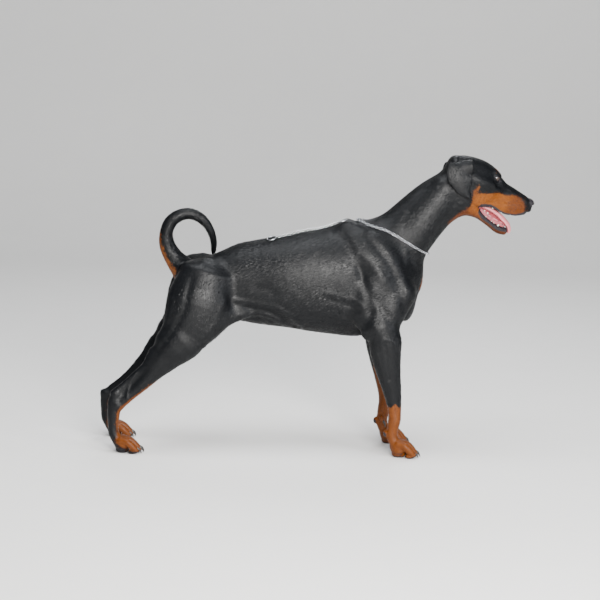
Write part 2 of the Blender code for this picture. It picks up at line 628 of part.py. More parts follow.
def tube(name, centres, radii, sides, closed=False, up=(0, 0, 1)):
    """A round bar along points."""
    centres = np.array(centres, float)
    radii = np.broadcast_to(radii, len(centres))
    along = (np.roll(centres, -1, 0) - np.roll(centres, 1, 0)) if closed else np.gradient(centres, axis=0)
    along = unit(along)
    up = np.broadcast_to(np.array(up, float), centres.shape)
    side = unit(np.cross(along, up))
    top = np.cross(side, along)
    points, faces = [], []
    for c, r, a, b in zip(centres, radii, side, top):
        for i in range(sides):
            w = 2 * math.pi * i / sides
            points.append(c + r * (math.cos(w) * a + math.sin(w) * b))
    rows = len(centres)
    for j in range(rows if closed else rows - 1):
        for i in range(sides):
            k, m = (j + 1) % rows, (i + 1) % sides
            faces.append((j * sides + i, j * sides + m, k * sides + m, k * sides + i))
    if not closed:
        faces.append(tuple(range(sides))[::-1])
        faces.append(tuple(range((rows - 1) * sides, rows * sides)))
    obj = new_object(name, points, faces)
    tidy(obj)
    return obj


def tidy(obj):
    bm = bmesh.new()
    bm.from_mesh(obj.data)
    bmesh.ops.recalc_face_normals(bm, faces=bm.faces)
    bm.to_mesh(obj.data)
    bm.free()


def ball(name, centre, radius, rings):
    bm = bmesh.new()
    bmesh.ops.create_uvsphere(bm, u_segments=2 * rings, v_segments=rings, radius=radius)
    mesh = bpy.data.meshes.new(name)
    bm.to_mesh(mesh)
    bm.free()
    mesh.transform(Matrix.Translation(Vector(centre)))
    obj = bpy.data.objects.new(name, mesh)
    bpy.context.scene.collection.objects.link(obj)
    return obj


def cone_rows(root, bend, tip, radius, steps=3):
    """Points and radii of a claw or tooth that bends from its root to its tip."""
    root, bend, tip = (np.array(v, float) for v in (root, bend, tip))
    t = np.linspace(0, 1, steps + 1)[:, None]
    line = (1 - t) ** 2 * root + 2 * t * (1 - t) * bend + t ** 2 * tip
    return line, radius * (1 - 0.86 * t[:, 0] ** 1.6)


def socket(line, radii):
    """A cutter a little larger than a claw, on every side."""
    root = line[0] - unit(line[1] - line[0]) * 2 * GAP
    return tube("socket", np.vstack([root, line]), np.append(radii[0], radii) + 2 * GAP, sides=5)


# The named solids of flesh
def flesh_mesh(body):
    points, faces = net(body, (-0.62, -0.15, -0.02), (0.70, 0.17, 0.90), CELL)
    points = settle(body, points)
    obj = new_object("flesh", points, faces)
    tidy(obj)
    thin = obj.modifiers.new("thin", "DECIMATE")
    thin.ratio = FLESH_TRIANGLES / (2 * len(faces))
    return baked(obj)


def flesh_cuts():
    """Thin plates between neighbouring solids, and the floor under the paws."""
    plates = [slab((0.405, 0.000, 0.752), (0.78, 0, 0.62), (0, 1, 0), 0.075, 0.125),
              slab((0.262, 0.000, 0.602), (0.71, 0, 0.70), (0, 1, 0), 0.130, 0.140),
              slab((-0.362, 0.000, 0.541), (-0.685, 0, 0.729), (0, 1, 0), 0.050, 0.046),
              slab((-0.381, 0.003, 0.606), (0.02, 0, 1.0), (0, 1, 0), 0.040, 0.040),
              slab((-0.308, 0.018, 0.662), (1.0, 0.2, -0.14), (0, 1, 0), 0.040, 0.035),
              slab((0.010, 0.000, 0.480), (1, 0, 0), (0, 1, 0), 0.160, 0.240),
              slab((-0.165, 0.000, 0.480), (1, 0, 0), (0, 1, 0), 0.160, 0.200),
              slab((0.000, 0.000, -0.050), (0, 0, 1), (1, 0, 0), 0.90, 0.40, 0.100)]
    for s in (-1, 1):
        front = -FAR_FRONT_BACK if s > 0 else 0.0
        hind = -FAR_HIND_BACK if s > 0 else 0.0
        fore, rear = FRONT_FOOT_Y * s, HIND_FOOT_Y * s
        plates += [slab((0.272 + front, fore, 0.106), (0, 0, 1), (1, 0, 0), 0.045, 0.045),
                   slab((-0.352 + hind * 0.10, 0.090 * s, 0.2965), (0.477, 0, 0.879), (0, 1, 0), 0.06, 0.09),
                   slab((-0.494 + hind * 0.94, rear, 0.134), (0.80, 0, 0.60), (0, 1, 0), 0.040, 0.038) if s > 0 else
                   slab((-0.486, rear, 0.150), (0.94, 0, 0.34), (0, 1, 0), 0.040, 0.056),
                   slab((-0.495 + hind, rear, 0.056), (0.15, 0, 1), (1, 0, 0), 0.060, 0.050)]
    heads = [slab((0.018, 0.0, -0.078), (0.95, 0, -0.31), (0, 1, 0), 0.055, 0.034),
             slab((0.1440, 0.0, 0.0165), (0.76, 0, 0.65), (0, 1, 0), 0.030, 0.0265)]
    plates += [[Vector(from_head(p)) for p in plate] for plate in heads]
    points = [p for plate in plates for p in plate]
    faces = [tuple(8 * i + k for k in face) for i in range(len(plates)) for face in BOX_FACES]
    obj = new_object("plates", points, faces)
    tidy(obj)
    return obj


def head_spot(x, y, z):
    return tuple(from_head((x, y, z)))


def flesh_nodes(body):
    flesh = flesh_mesh(body)
    legs = []
    for s in (-1, 1):
        fore = [(0.036 * s, 0.318), (0.135 * s, 0.374), (0.200 * s, -0.05), (0.020 * s, -0.05)]
        hind = [(0.020 * s, 0.338), (0.155 * s, 0.440), (0.200 * s, -0.05), (0.012 * s, -0.05)]
        legs.append(parted(flesh, fore, 0.14, 0.42))
        legs.append(parted(flesh, hind, -0.70, -0.205))
    cuts = flesh_cuts()
    shells = []
    for obj in [flesh, *legs]:
        boolean(obj, cuts, "DIFFERENCE", drop=False)
        shells += loose_parts(obj)
        bpy.data.objects.remove(obj)
    bpy.data.objects.remove(cuts)
    seeds = {"chest": (0.12, 0, 0.48), "belly": (-0.08, 0, 0.47), "pelvis": (-0.26, 0, 0.48),
             "neck": (0.34, 0, 0.68), "head": head_spot(-0.03, 0, 0.01),
             "lower_jaw": head_spot(0.050, 0, -0.0885),
             "nose": head_spot(0.150, 0, 0.018), "tail_base": (-0.3765, 0.001, 0.574),
             "tail_middle": (-0.347, 0.010, 0.657), "tail_tip": (-0.273, 0.028, 0.637)}
    for s, side in ((-1, "right"), (1, "left")):
        front = -FAR_FRONT_BACK if s > 0 else 0.0
        hind = -FAR_HIND_BACK if s > 0 else 0.0
        seeds["forearm_" + side] = (0.250 + front * 0.4, 0.086 * s, 0.250)
        seeds["front_paw_" + side] = (0.270 + front, FRONT_FOOT_Y * s, 0.080)
        seeds["thigh_" + side] = (-0.296, 0.082 * s, 0.375)
        seeds["shank_" + side] = (-0.4065 + hind * 0.45, 0.091 * s, 0.229)
        seeds["metatarsus_" + side] = (-0.5145 + hind, HIND_FOOT_Y * s, 0.100)
        seeds["hind_paw_" + side] = (-0.490 + hind, HIND_FOOT_Y * s, 0.025)
    return name_shells(shells, seeds)


# Claws in their sockets, eyes, teeth and tongue
def claws(nodes):
    made = []
    for s, side in ((-1, "right"), (1, "left")):
        front = -FAR_FRONT_BACK if s > 0 else 0.0
        hind = -FAR_HIND_BACK if s > 0 else 0.0
        for paw, x, y, scale in (("front", 0.306 + front, FRONT_FOOT_Y * s, 1.0),
                                 ("hind", -0.471 + hind, HIND_FOOT_Y * s, 0.94)):
            tools = []
            for number, i in enumerate(TOES, 1):
                reach = x - 0.0065 * (abs(i) - 0.5)
                across = y + 0.0150 * i * scale
                rows = cone_rows((reach + 0.028, across, 0.0150), (reach + 0.038, across, 0.0150),
                                 (reach + 0.0425, across, 0.0030), 0.0038)
                name = f"claw_{paw}_{side}_{number}"
                made.append(tube(name, *rows, sides=5))
                tools.append(socket(*rows))
            for tool in tools:
                boolean(nodes[f"{paw}_paw_{side}"], tool, "DIFFERENCE")
        x, y = 0.270 + front, (FRONT_FOOT_Y - 0.0245) * s
        rows = cone_rows((x, y, 0.070), (x + 0.004, y, 0.062), (x + 0.008, y, 0.052), 0.0034)
        made.append(tube(f"dewclaw_{side}", *rows, sides=5))
        boolean(nodes[f"front_paw_{side}"], socket(*rows), "DIFFERENCE")
    return made


def eyes(nodes):
    made = []
    for s, side in ((-1, "right"), (1, "left")):
        centre = from_head((EYE_CENTRE[0], EYE_CENTRE[1] * s, EYE_CENTRE[2]))
        boolean(nodes["head"], ball("socket", centre, EYE_RADIUS + GAP, 8), "DIFFERENCE")
        made.append(ball("eye_" + side, centre, EYE_RADIUS, 6))
    return made


UPPER_TEETH = [(0.112, 0.0135, -0.022, -0.038, 0.0042), (0.031, 0.0215, -0.028, -0.050, 0.0062),
               (0.047, 0.0205, -0.026, -0.051, 0.0066), (0.063, 0.0195, -0.024, -0.036, 0.0044)]
LOWER_TEETH = [(0.092, 0.0125, -0.0900, -0.0640, 0.0042), (0.044, 0.0185, -0.0860, -0.0690, 0.0060),
               (0.058, 0.0170, -0.0880, -0.0710, 0.0052), (0.072, 0.0155, -0.0900, -0.0730, 0.0044),
               (0.107, 0.0035, -0.0880, -0.0705, 0.0030), (0.104, 0.0080, -0.0880, -0.0710, 0.0030)]


def teeth(nodes):
    for node, rows in (("head", UPPER_TEETH), ("lower_jaw", LOWER_TEETH)):
        for x, y, root, tip, radius in rows:
            for s in (-1, 1):
                line = [from_head((x, y * s, root)), from_head((x, y * s, root * 0.4 + tip * 0.6)),
                        from_head((x + 0.001, y * s, tip))]
                tooth = tube("tooth", line, [radius, radius * 0.82, radius * 0.2], sides=5)
                boolean(nodes[node], tooth, "UNION")


TONGUE_ROWS = [(0.014, 0, -0.0560, 0.0100, 0.0035, 0.0035), (0.045, 0, -0.0560, 0.0130, 0.0050, 0.0050),
               (0.072, 0, -0.0560, 0.0125, 0.0055, 0.0050), (0.094, 0, -0.0570, 0.0115, 0.0050, 0.0045),
               (0.110, 0, -0.0600, 0.0130, 0.0040, 0.0035), (0.1220, 0, -0.0670, 0.0130, 0.0034, 0.0030),
               (0.1285, 0, -0.0770, 0.0110, 0.0030, 0.0028), (0.1310, 0, -0.0850, 0.0060, 0.0026, 0.0024)]


def loft(name, rows, side, sides, grow=0.0):
    """A closed body over rows of the head's frame, each an oval; grow makes it a cutter a little larger."""
    rows = spline(rows, 2)
    along = unit(np.gradient(rows[:, :3], axis=0))
    rows[0, :3] -= 2 * grow * along[0]
    points, faces = [], []
    for row, t in zip(rows, along):
        up = unit(np.cross(t, np.array(side)))
        wide = np.cross(up, t)
        for i in range(sides):
            w = 2 * math.pi * i / sides
            high = (row[4] if math.sin(w) > 0 else row[5]) + grow
            points.append(from_head(row[:3] + (row[3] + grow) * math.cos(w) * wide + high * math.sin(w) * up))
    for j in range(len(rows) - 1):
        for i in range(sides):
            m = (i + 1) % sides
            faces.append((j * sides + i, j * sides + m, (j + 1) * sides + m))
            faces.append((j * sides + i, (j + 1) * sides + m, (j + 1) * sides + i))
    faces += [tuple(range(sides))[::-1], tuple(range((len(rows) - 1) * sides, len(rows) * sides))]
    obj = new_object(name, points, faces)
    tidy(obj)
    return obj


EAR_SIDE = (0.764, 0.0, 0.645)


def ears(nodes):
    made = []
    for s, side in ((-1, "right"), (1, "left")):
        rows = [(r[0] + ahead * (s > 0), r[1] * s, *r[2:]) for r, ahead in zip(EAR_ROWS, FAR_EAR_AHEAD)]
        boolean(nodes["head"], loft("socket", rows, EAR_SIDE, 10, 2 * GAP), "DIFFERENCE")
        made.append(loft("ear_" + side, rows, EAR_SIDE, 10))
    return made


def tongue():
    return loft("tongue", TONGUE_ROWS, (0.0, 1.0, 0.0), 8)


# The chain collar as smooth bars, its two rings and the free end along the back
LOOP_CENTRE = np.array([0.243, 0.0, 0.621])
LOOP_NORMAL = np.array([0.413, 0.0, 0.911])
LOOP_ARCH = 0.014


def outward(body, start, direction, clearance, reach=0.25):
    """The spot along a direction where the flesh lies at a clearance."""
    steps = np.linspace(0.01, reach, 240)
    p = start + steps[:, None] * direction
    d = body(p)
    inside = np.flatnonzero(d < clearance)
    return p[inside[-1]]


def collar(body):
    normal = unit(LOOP_NORMAL)
    ahead = unit(np.cross(np.array([0.0, 1.0, 0.0]), normal))
    side = np.array([0.0, 1.0, 0.0])
    away = CHAIN_RADIUS + CHAIN_CLEARANCE
    loop = [outward(body, LOOP_CENTRE + [0, 0, LOOP_ARCH * math.sin(w) ** 2],
                    math.cos(w) * ahead + math.sin(w) * side, away)
            for w in np.linspace(0, 2 * math.pi, 32, endpoint=False)]
    loop = np.array(loop)
    loop = (np.roll(loop, 1, 0) + 2 * loop + np.roll(loop, -1, 0)) / 4
    pieces = [tube("collar_loop", loop, CHAIN_RADIUS, sides=5, closed=True)]

    def on_back(x, y, clearance):
        return outward(body, np.array([x, y, 0.45]), np.array([0.0, 0.0, 1.0]), clearance)

    spot = on_back(0.112, -0.012, RING_WIRE + CHAIN_CLEARANCE)
    end = on_back(-0.085, -0.022, RING_WIRE + CHAIN_CLEARANCE)
    for name, centre in (("collar_ring", spot), ("end_ring", end)):
        ahead_low = on_back(centre[0] - 0.02, centre[1], away) - on_back(centre[0] + 0.02, centre[1], away)
        tilt = unit(ahead_low)
        up = unit(np.cross(tilt, np.cross(np.array([0.0, 0.0, 1.0]), tilt)))
        across = np.cross(up, tilt)
        ring = [centre + up * 0.001 + RING_RADIUS * (math.cos(w) * tilt + math.sin(w) * across)
                for w in np.linspace(0, 2 * math.pi, 14, endpoint=False)]
        pieces.append(tube(name, ring, RING_WIRE, sides=5, closed=True, up=up))
    first, last = spot[0] - RING_RADIUS - 0.0095, end[0] + RING_RADIUS + 0.0095
    line = [on_back(first + (last - first) * f, -0.012 - 0.010 * f, away) for f in np.linspace(0, 1, 16)]
    pieces.append(tube("collar_end", line, CHAIN_RADIUS, sides=5))
    return pieces


# Materials and placing
def material(name, colour, roughness, metallic=0.0):
    mat = bpy.data.materials.new(name)
    mat.use_nodes = True
    shader = mat.node_tree.nodes["Principled BSDF"]
    shader.inputs["Base Color"].default_value = (*colour, 1.0)
    shader.inputs["Roughness"].default_value = roughness
    shader.inputs["Metallic"].default_value = metallic
    return mat


def dress(objects):
    slots = {"coat_black": material("coat_black", BLACK_COAT, 0.45),
             "coat_rust": material("coat_rust", RUST_COAT, 0.55),
             "claw": material("claw", CLAW_BLACK, 0.4), "eye": material("eye", EYE_BROWN, 0.08),
             "nose": material("nose", NOSE_BLACK, 0.4), "tongue": material("tongue", TONGUE_PINK, 0.35),
             "steel": material("steel", STEEL, 0.25, 1.0)}
    rules = (("claw", "claw"), ("dewclaw", "claw"), ("eye", "eye"), ("nose", "nose"), ("tongue", "tongue"),
             ("collar", "steel"), ("end_ring", "steel"), ("front_paw", "coat_rust"),
             ("hind_paw", "coat_rust"), ("lower_jaw", "coat_rust"))
    for obj in objects:
        slot = next((slot for start, slot in rules if obj.name.startswith(start)), "coat_black")
        obj.data.materials.clear()
        obj.data.materials.append(slots[slot])
        for face in obj.data.polygons:
            face.use_smooth = True


def place(objects):
    low = np.min([np.array(v.co) for obj in objects for v in obj.data.vertices], axis=0)
    high = np.max([np.array(v.co) for obj in objects for v in obj.data.vertices], axis=0)
    shift = Vector((-(low[0] + high[0]) / 2, -(low[1] + high[1]) / 2, -low[2]))
    for obj in objects:
        obj.data.transform(Matrix.Translation(shift))
    return shift


def main():
    for obj in list(bpy.data.objects):
        bpy.data.objects.remove(obj)
    body = Body()
    nodes = flesh_nodes(body)
    extra = claws(nodes) + ears(nodes) + eyes(nodes)
    teeth(nodes)
    extra.append(tongue())
    extra += collar(body)
    objects = list(nodes.values()) + extra
    dress(objects)
    place(objects)


if __name__ == "__main__":
    main()
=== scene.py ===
"""The looks of a life-size doberman pinscher: one skin with its relief, short coat, head, chain and stage."""

import math

import bpy
import numpy as np
from mathutils import Matrix, Vector


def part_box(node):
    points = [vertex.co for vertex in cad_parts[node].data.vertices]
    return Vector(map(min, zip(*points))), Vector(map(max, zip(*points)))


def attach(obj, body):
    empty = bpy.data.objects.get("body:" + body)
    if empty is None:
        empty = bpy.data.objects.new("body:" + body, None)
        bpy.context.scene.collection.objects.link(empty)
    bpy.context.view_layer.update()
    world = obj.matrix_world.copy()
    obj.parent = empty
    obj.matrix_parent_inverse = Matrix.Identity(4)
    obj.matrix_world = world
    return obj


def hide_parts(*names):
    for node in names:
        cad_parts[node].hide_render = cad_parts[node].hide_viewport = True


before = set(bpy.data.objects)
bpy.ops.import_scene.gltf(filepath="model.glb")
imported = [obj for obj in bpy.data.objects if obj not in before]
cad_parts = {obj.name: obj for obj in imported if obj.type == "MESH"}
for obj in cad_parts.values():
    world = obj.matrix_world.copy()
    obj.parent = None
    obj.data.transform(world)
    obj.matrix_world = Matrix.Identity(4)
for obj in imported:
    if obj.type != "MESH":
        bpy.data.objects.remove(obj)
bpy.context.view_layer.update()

# Sizes in metres and degrees, the same as those of the solids
SMOOTH_REACH = 0.04
HEAD_ORIGIN = (0.504, 0.0, 0.7655)
HEAD_PITCH = 25.0
HEAD_YAW = 7.0
HEAD_PIVOT_X = 0.420
FRONT_FOOT_Y = 0.081
HIND_FOOT_Y = 0.094
FAR_FRONT_BACK = 0.018
FAR_HIND_BACK = 0.031
FAR_EAR_AHEAD = (0.0, 0.004, 0.010, 0.013, 0.013, 0.013, 0.013, 0.013)
EYE_RADIUS = 0.0108
EYE_CENTRE = (0.0175, 0.0270, 0.0350)

# Sizes of the looks alone
CELL = 0.0035
COAT_DEPTH = 0.0013
TUFTS = 124000
SEED = 7


# Curves and distances to swept bodies
def spline(rows, steps=3):
    """Rows of numbers joined by a smooth curve through each row."""
    rows = np.array(rows, float)
    full = np.vstack([2 * rows[0] - rows[1], rows, 2 * rows[-1] - rows[-2]])
    out = []
    for i in range(len(rows) - 1):
        a, b, c, d = full[i:i + 4]
        for s in np.arange(steps) / steps:
            out.append(0.5 * (2 * b + (c - a) * s + (2 * a - 5 * b + 4 * c - d) * s ** 2
                              + (3 * b - a - 3 * c + d) * s ** 3))
    out.append(rows[-1])
    return np.array(out)


def unit(v):
    return v / np.maximum(np.linalg.norm(v, axis=-1, keepdims=True), 1e-12)


def rounded(q, w, n):
    """Signed distance, to first order, of offsets q from a rounded body with half sizes w."""
    u = np.abs(q) / w
    k = np.maximum((u ** n).sum(1), 1e-9) ** (1 / n)
    slope = np.sqrt(((u ** (n - 1) / w) ** 2).sum(1)) * k ** (1 - n)
    return (k - 1) / np.maximum(slope, 1e-9)


class Sweep:
    """A body swept along a curve; rows are x, y, z, half width, size above and size below."""

    def __init__(self, rows, blend=0.02, power=2.0, caps=(0.02, 0.02), side=(0, 1, 0), steps=3):
        data = spline(rows, steps)
        self.line = data[:, :3]
        self.size = np.maximum(data[:, 3:6], 0.0008)
        self.along = unit(np.gradient(self.line, axis=0))
        self.up = unit(np.cross(self.along, np.array(side, float)))
        self.side = unit(np.cross(self.up, self.along))
        self.blend, self.power, self.caps = blend, power, caps
        reach = self.size.max() + max(caps)
        self.low = self.line.min(0) - reach
        self.high = self.line.max(0) + reach

    def locate(self, p):
        """Place along the curve, offsets sideways, up and beyond the ends, direction and size there."""
        best = np.full(len(p), 1e9)
        t = np.zeros(len(p))
        for i in range(len(self.line) - 1):
            edge = self.line[i + 1] - self.line[i]
            s = np.clip((p - self.line[i]) @ edge / (edge @ edge), 0, 1)
            away = p - self.line[i] - s[:, None] * edge
            d = (away * away).sum(1)
            closer = d < best
            best[closer] = d[closer]
            t[closer] = i + s[closer]
        last = len(self.line) - 1
        i = np.minimum(t.astype(int), last - 1)
        f = (t - i)[:, None]

        def at(a):
            return a[i] * (1 - f) + a[i + 1] * f

        q = p - at(self.line)
        along = at(self.along)
        a = (q * unit(at(self.side))).sum(1)
        b = (q * unit(at(self.up))).sum(1)
        c = np.where((t <= 0) | (t >= last), (q * along).sum(1), 0.0)
        return t, a, b, c, along, at(self.size)

    def distance(self, p):
        t, a, b, c, _, size = self.locate(p)
        w = np.stack([size[:, 0], np.where(b > 0, size[:, 1], size[:, 2]),
                      np.where(t <= 0, self.caps[0], self.caps[1])], 1)
        return rounded(np.stack([a, b, c], 1), w, self.power)


class Ball:
    """An ellipsoid with three half sizes, turned about its own y axis by pitch degrees."""

    def __init__(self, centre, sizes, blend=0.02, pitch=0.0, power=2.0, turn=0.0):
        self.centre, self.sizes = np.array(centre, float), np.array(sizes, float)
        self.blend, self.power = blend, power
        spin = Matrix.Rotation(math.radians(turn), 3, "Z") @ Matrix.Rotation(math.radians(pitch), 3, "Y")
        self.turn = np.array(spin)
        self.low = self.centre - self.sizes.max()
        self.high = self.centre + self.sizes.max()

    def distance(self, p):
        return rounded((p - self.centre) @ self.turn, self.sizes, self.power)


def smooth_min(a, b, k):
    h = np.clip(0.5 + 0.5 * (b - a) / k, 0, 1)
    return b + (a - b) * h - k * h * (1 - h)


def nearby(shape, p, reach):
    return np.flatnonzero(((p > shape.low - reach) & (p < shape.high + reach)).all(1))


def union(shapes, p, reach=SMOOTH_REACH):
    d = np.full(len(p), reach)
    for shape in shapes:
        k = nearby(shape, p, reach)
        if len(k):
            d[k] = smooth_min(d[k], shape.distance(p[k]), shape.blend)
    return d


def carve(d, shapes, p):
    for shape in shapes:
        k = nearby(shape, p, SMOOTH_REACH)
        if len(k):
            d[k] = -smooth_min(-d[k], shape.distance(p[k]), shape.blend)
    return d


# The frame of the head, nose down and turned to the dog's left
def head_axes():
    pitch, yaw = math.radians(HEAD_PITCH), math.radians(HEAD_YAW)
    tilt = np.array(Matrix.Rotation(pitch, 3, "Y"))
    spin = np.array(Matrix.Rotation(yaw, 3, "Z"))
    pivot = np.array([HEAD_PIVOT_X, 0, 0])
    origin = spin @ (np.array(HEAD_ORIGIN) - pivot) + pivot
    return spin @ tilt, origin


HEAD_TURN, HEAD_PLACE = head_axes()


def to_head(p):
    return (p - HEAD_PLACE) @ HEAD_TURN


def from_head(q):
    return np.asarray(q, float) @ HEAD_TURN.T + HEAD_PLACE


# The flesh of the dog, each list joined smoothly in turn
def mid(rows):
    return [(x, 0.0, z, w, up, down) for x, z, w, up, down in rows]


def trunk_shapes():
    barrel = mid([(0.285, 0.470, 0.060, 0.085, 0.088), (0.235, 0.480, 0.080, 0.126, 0.128),
                  (0.170, 0.485, 0.092, 0.150, 0.152), (0.100, 0.485, 0.099, 0.147, 0.150),
                  (0.030, 0.482, 0.102, 0.143, 0.147), (-0.040, 0.477, 0.100, 0.128, 0.135),
                  (-0.110, 0.472, 0.091, 0.116, 0.126), (-0.180, 0.470, 0.082, 0.102, 0.113),
                  (-0.250, 0.470, 0.076, 0.086, 0.080), (-0.310, 0.468, 0.066, 0.069, 0.060)])
    shapes = [Sweep(barrel, 0.02, 2.15, (0.050, 0.038)),
              Ball((0.150, 0, 0.602), (0.090, 0.038, 0.052), 0.030),
              Ball((0.319, 0, 0.498), (0.018, 0.024, 0.030), 0.028),
              Ball((0.298, 0, 0.415), (0.022, 0.040, 0.040), 0.024),
              Ball((0.150, 0, 0.362), (0.090, 0.030, 0.026), 0.028)]
    for s in (-1, 1):
        blade = [(0.120, 0.030 * s, 0.632, 0.014, 0.030, 0.034),
                 (0.170, 0.052 * s, 0.590, 0.022, 0.044, 0.050),
                 (0.225, 0.068 * s, 0.530, 0.027, 0.050, 0.052),
                 (0.280, 0.066 * s, 0.470, 0.030, 0.040, 0.042)]
        arm = [(0.285, 0.066 * s, 0.466, 0.033, 0.038, 0.040), (0.250, 0.077 * s, 0.415, 0.034, 0.046, 0.044),
               (0.214, 0.086 * s, 0.362, 0.029, 0.046, 0.034)]
        shapes += [Sweep(blade, 0.022, 2.0, (0.02, 0.03)), Sweep(arm, 0.022, 2.0, (0.03, 0.02)),
                   Ball((0.200, 0.078 * s, 0.440), (0.052, 0.030, 0.090), 0.022, 12),
                   Ball((0.186, 0.088 * s, 0.353), (0.015, 0.014, 0.018), 0.014),
                   Ball((-0.270, 0.048 * s, 0.508), (0.062, 0.032, 0.034), 0.028, 12)]
    return shapes


def neck_shapes():
    rows = mid([(0.215, 0.550, 0.070, 0.088, 0.100), (0.255, 0.590, 0.066, 0.088, 0.094),
                (0.292, 0.629, 0.059, 0.080, 0.084), (0.335, 0.677, 0.053, 0.073, 0.076),
                (0.375, 0.715, 0.049, 0.069, 0.071), (0.425, 0.755, 0.046, 0.061, 0.078)])
    shapes = [Sweep(rows, 0.045, 2.0, (0.03, 0.03))]
    for s in (-1, 1):
        muscle = [(0.400, 0.030 * s, 0.760, 0.018, 0.030, 0.030),
                  (0.330, 0.040 * s, 0.650, 0.017, 0.030, 0.030),
                  (0.295, 0.030 * s, 0.560, 0.017, 0.028, 0.028)]
        shapes.append(Sweep(muscle, 0.025, 2.0, (0.02, 0.02)))
    return shapes


def toe_rows(x, y, spread, lift, size):
    """A toe from the middle of the paw over the knuckle to its tip."""
    return [(x - 0.016, y + 0.55 * spread, 0.040 * lift, size, size, size),
            (x + 0.004, y + 0.90 * spread, 0.034 * lift, 1.06 * size, size, 1.1 * size),
            (x + 0.018, y + spread, 0.021 * lift, size, 0.95 * size, size),
            (x + 0.027, y + spread, 0.0115 * lift, 0.84 * size, 0.8 * size, 0.8 * size)]


TOES = (-1.5, -0.5, 0.5, 1.5)


def paw_shapes(x, y, scale):
    shapes = [Ball((x - 0.018, y, 0.024 * scale), (0.024 * scale, 0.026 * scale, 0.022 * scale), 0.012),
              Ball((x - 0.018, y, 0.007), (0.020 * scale, 0.019 * scale, 0.012), 0.006)]
    for i in TOES:
        reach = x - 0.0065 * (abs(i) - 0.5)
        spread = 0.0150 * i * scale
        shapes.append(Sweep(toe_rows(reach, y, spread, scale, 0.0118 * scale), 0.006, 2.0, (0.006, 0.010)))
        shapes.append(Ball((reach + 0.018, y + spread, 0.007), (0.013, 0.0088, 0.0095), 0.004))
    return shapes


def front_leg(s):
    dx = -FAR_FRONT_BACK if s > 0 else 0.0
    foot = FRONT_FOOT_Y
    rows = [(0.225, 0.088, 0.368, 0.030, 0.042, 0.036), (0.236, 0.088, 0.335, 0.0325, 0.0485, 0.045),
            (0.2400, 0.087, 0.300, 0.0305, 0.0455, 0.0435), (0.2495, 0.086, 0.250, 0.0265, 0.0365, 0.0360),
            (0.2600, 0.084, 0.204, 0.0225, 0.0290, 0.0290), (0.2685, 0.082, 0.162, 0.0190, 0.0230, 0.0230),
            (0.2725, foot, 0.130, 0.0190, 0.0190, 0.0190), (0.2725, foot, 0.105, 0.0205, 0.0188, 0.0188),
            (0.2690, foot, 0.080, 0.0180, 0.0170, 0.0172), (0.2690, foot, 0.056, 0.0175, 0.0165, 0.0168),
            (0.2800, foot, 0.036, 0.0200, 0.0170, 0.0170)]
    share = np.clip([(0.34 - r[2]) / 0.24 for r in rows], 0, 1)
    rows = [(r[0] + dx * f, r[1] * s, *r[2:]) for r, f in zip(rows, share)]
    pad = (0.2500 + dx, foot * s, 0.066)
    dew = (0.2660 + dx, (foot - 0.021) * s, 0.074)
    return [Sweep(rows, 0.016, 2.0, (0.03, 0.012)), *paw_shapes(0.306 + dx, foot * s, 1.0),
            Ball(pad, (0.0085, 0.0080, 0.0110), 0.006), Ball(dew, (0.0075, 0.0070, 0.0130), 0.006, -15)]


# Tendon and thin web above each hock; the near hock, at -1, stands higher than the far one
HIND_TENDON = {-1: [(-0.400, 0.091, 0.285, 0.016, 0.022, 0.022), (-0.428, 0.092, 0.245, 0.011, 0.014, 0.014),
                    (-0.460, 0.092, 0.220, 0.0075, 0.0085, 0.0075), (-0.491, 0.094, 0.190, 0.0070, 0.0070, 0.0065),
                    (-0.514, 0.094, 0.170, 0.0095, 0.0090, 0.0090)],
               1: [(-0.400, 0.091, 0.279, 0.016, 0.022, 0.022), (-0.428, 0.092, 0.229, 0.011, 0.014, 0.014),
                   (-0.460, 0.092, 0.186, 0.0075, 0.0085, 0.0075), (-0.496, 0.094, 0.147, 0.0068, 0.0070, 0.0065),
                   (-0.523, 0.094, 0.127, 0.0095, 0.0090, 0.0090)]}
HIND_WEB = {-1: [(-0.425, 0.092, 0.223, 0.010, 0.026, 0.026), (-0.460, 0.092, 0.192, 0.0080, 0.026, 0.026),
                 (-0.497, 0.094, 0.163, 0.0095, 0.025, 0.024)],
            1: [(-0.425, 0.092, 0.212, 0.010, 0.022, 0.024), (-0.460, 0.092, 0.172, 0.0080, 0.018, 0.018),
                (-0.500, 0.094, 0.139, 0.0095, 0.015, 0.014)]}
HOCK_DROP = 0.010


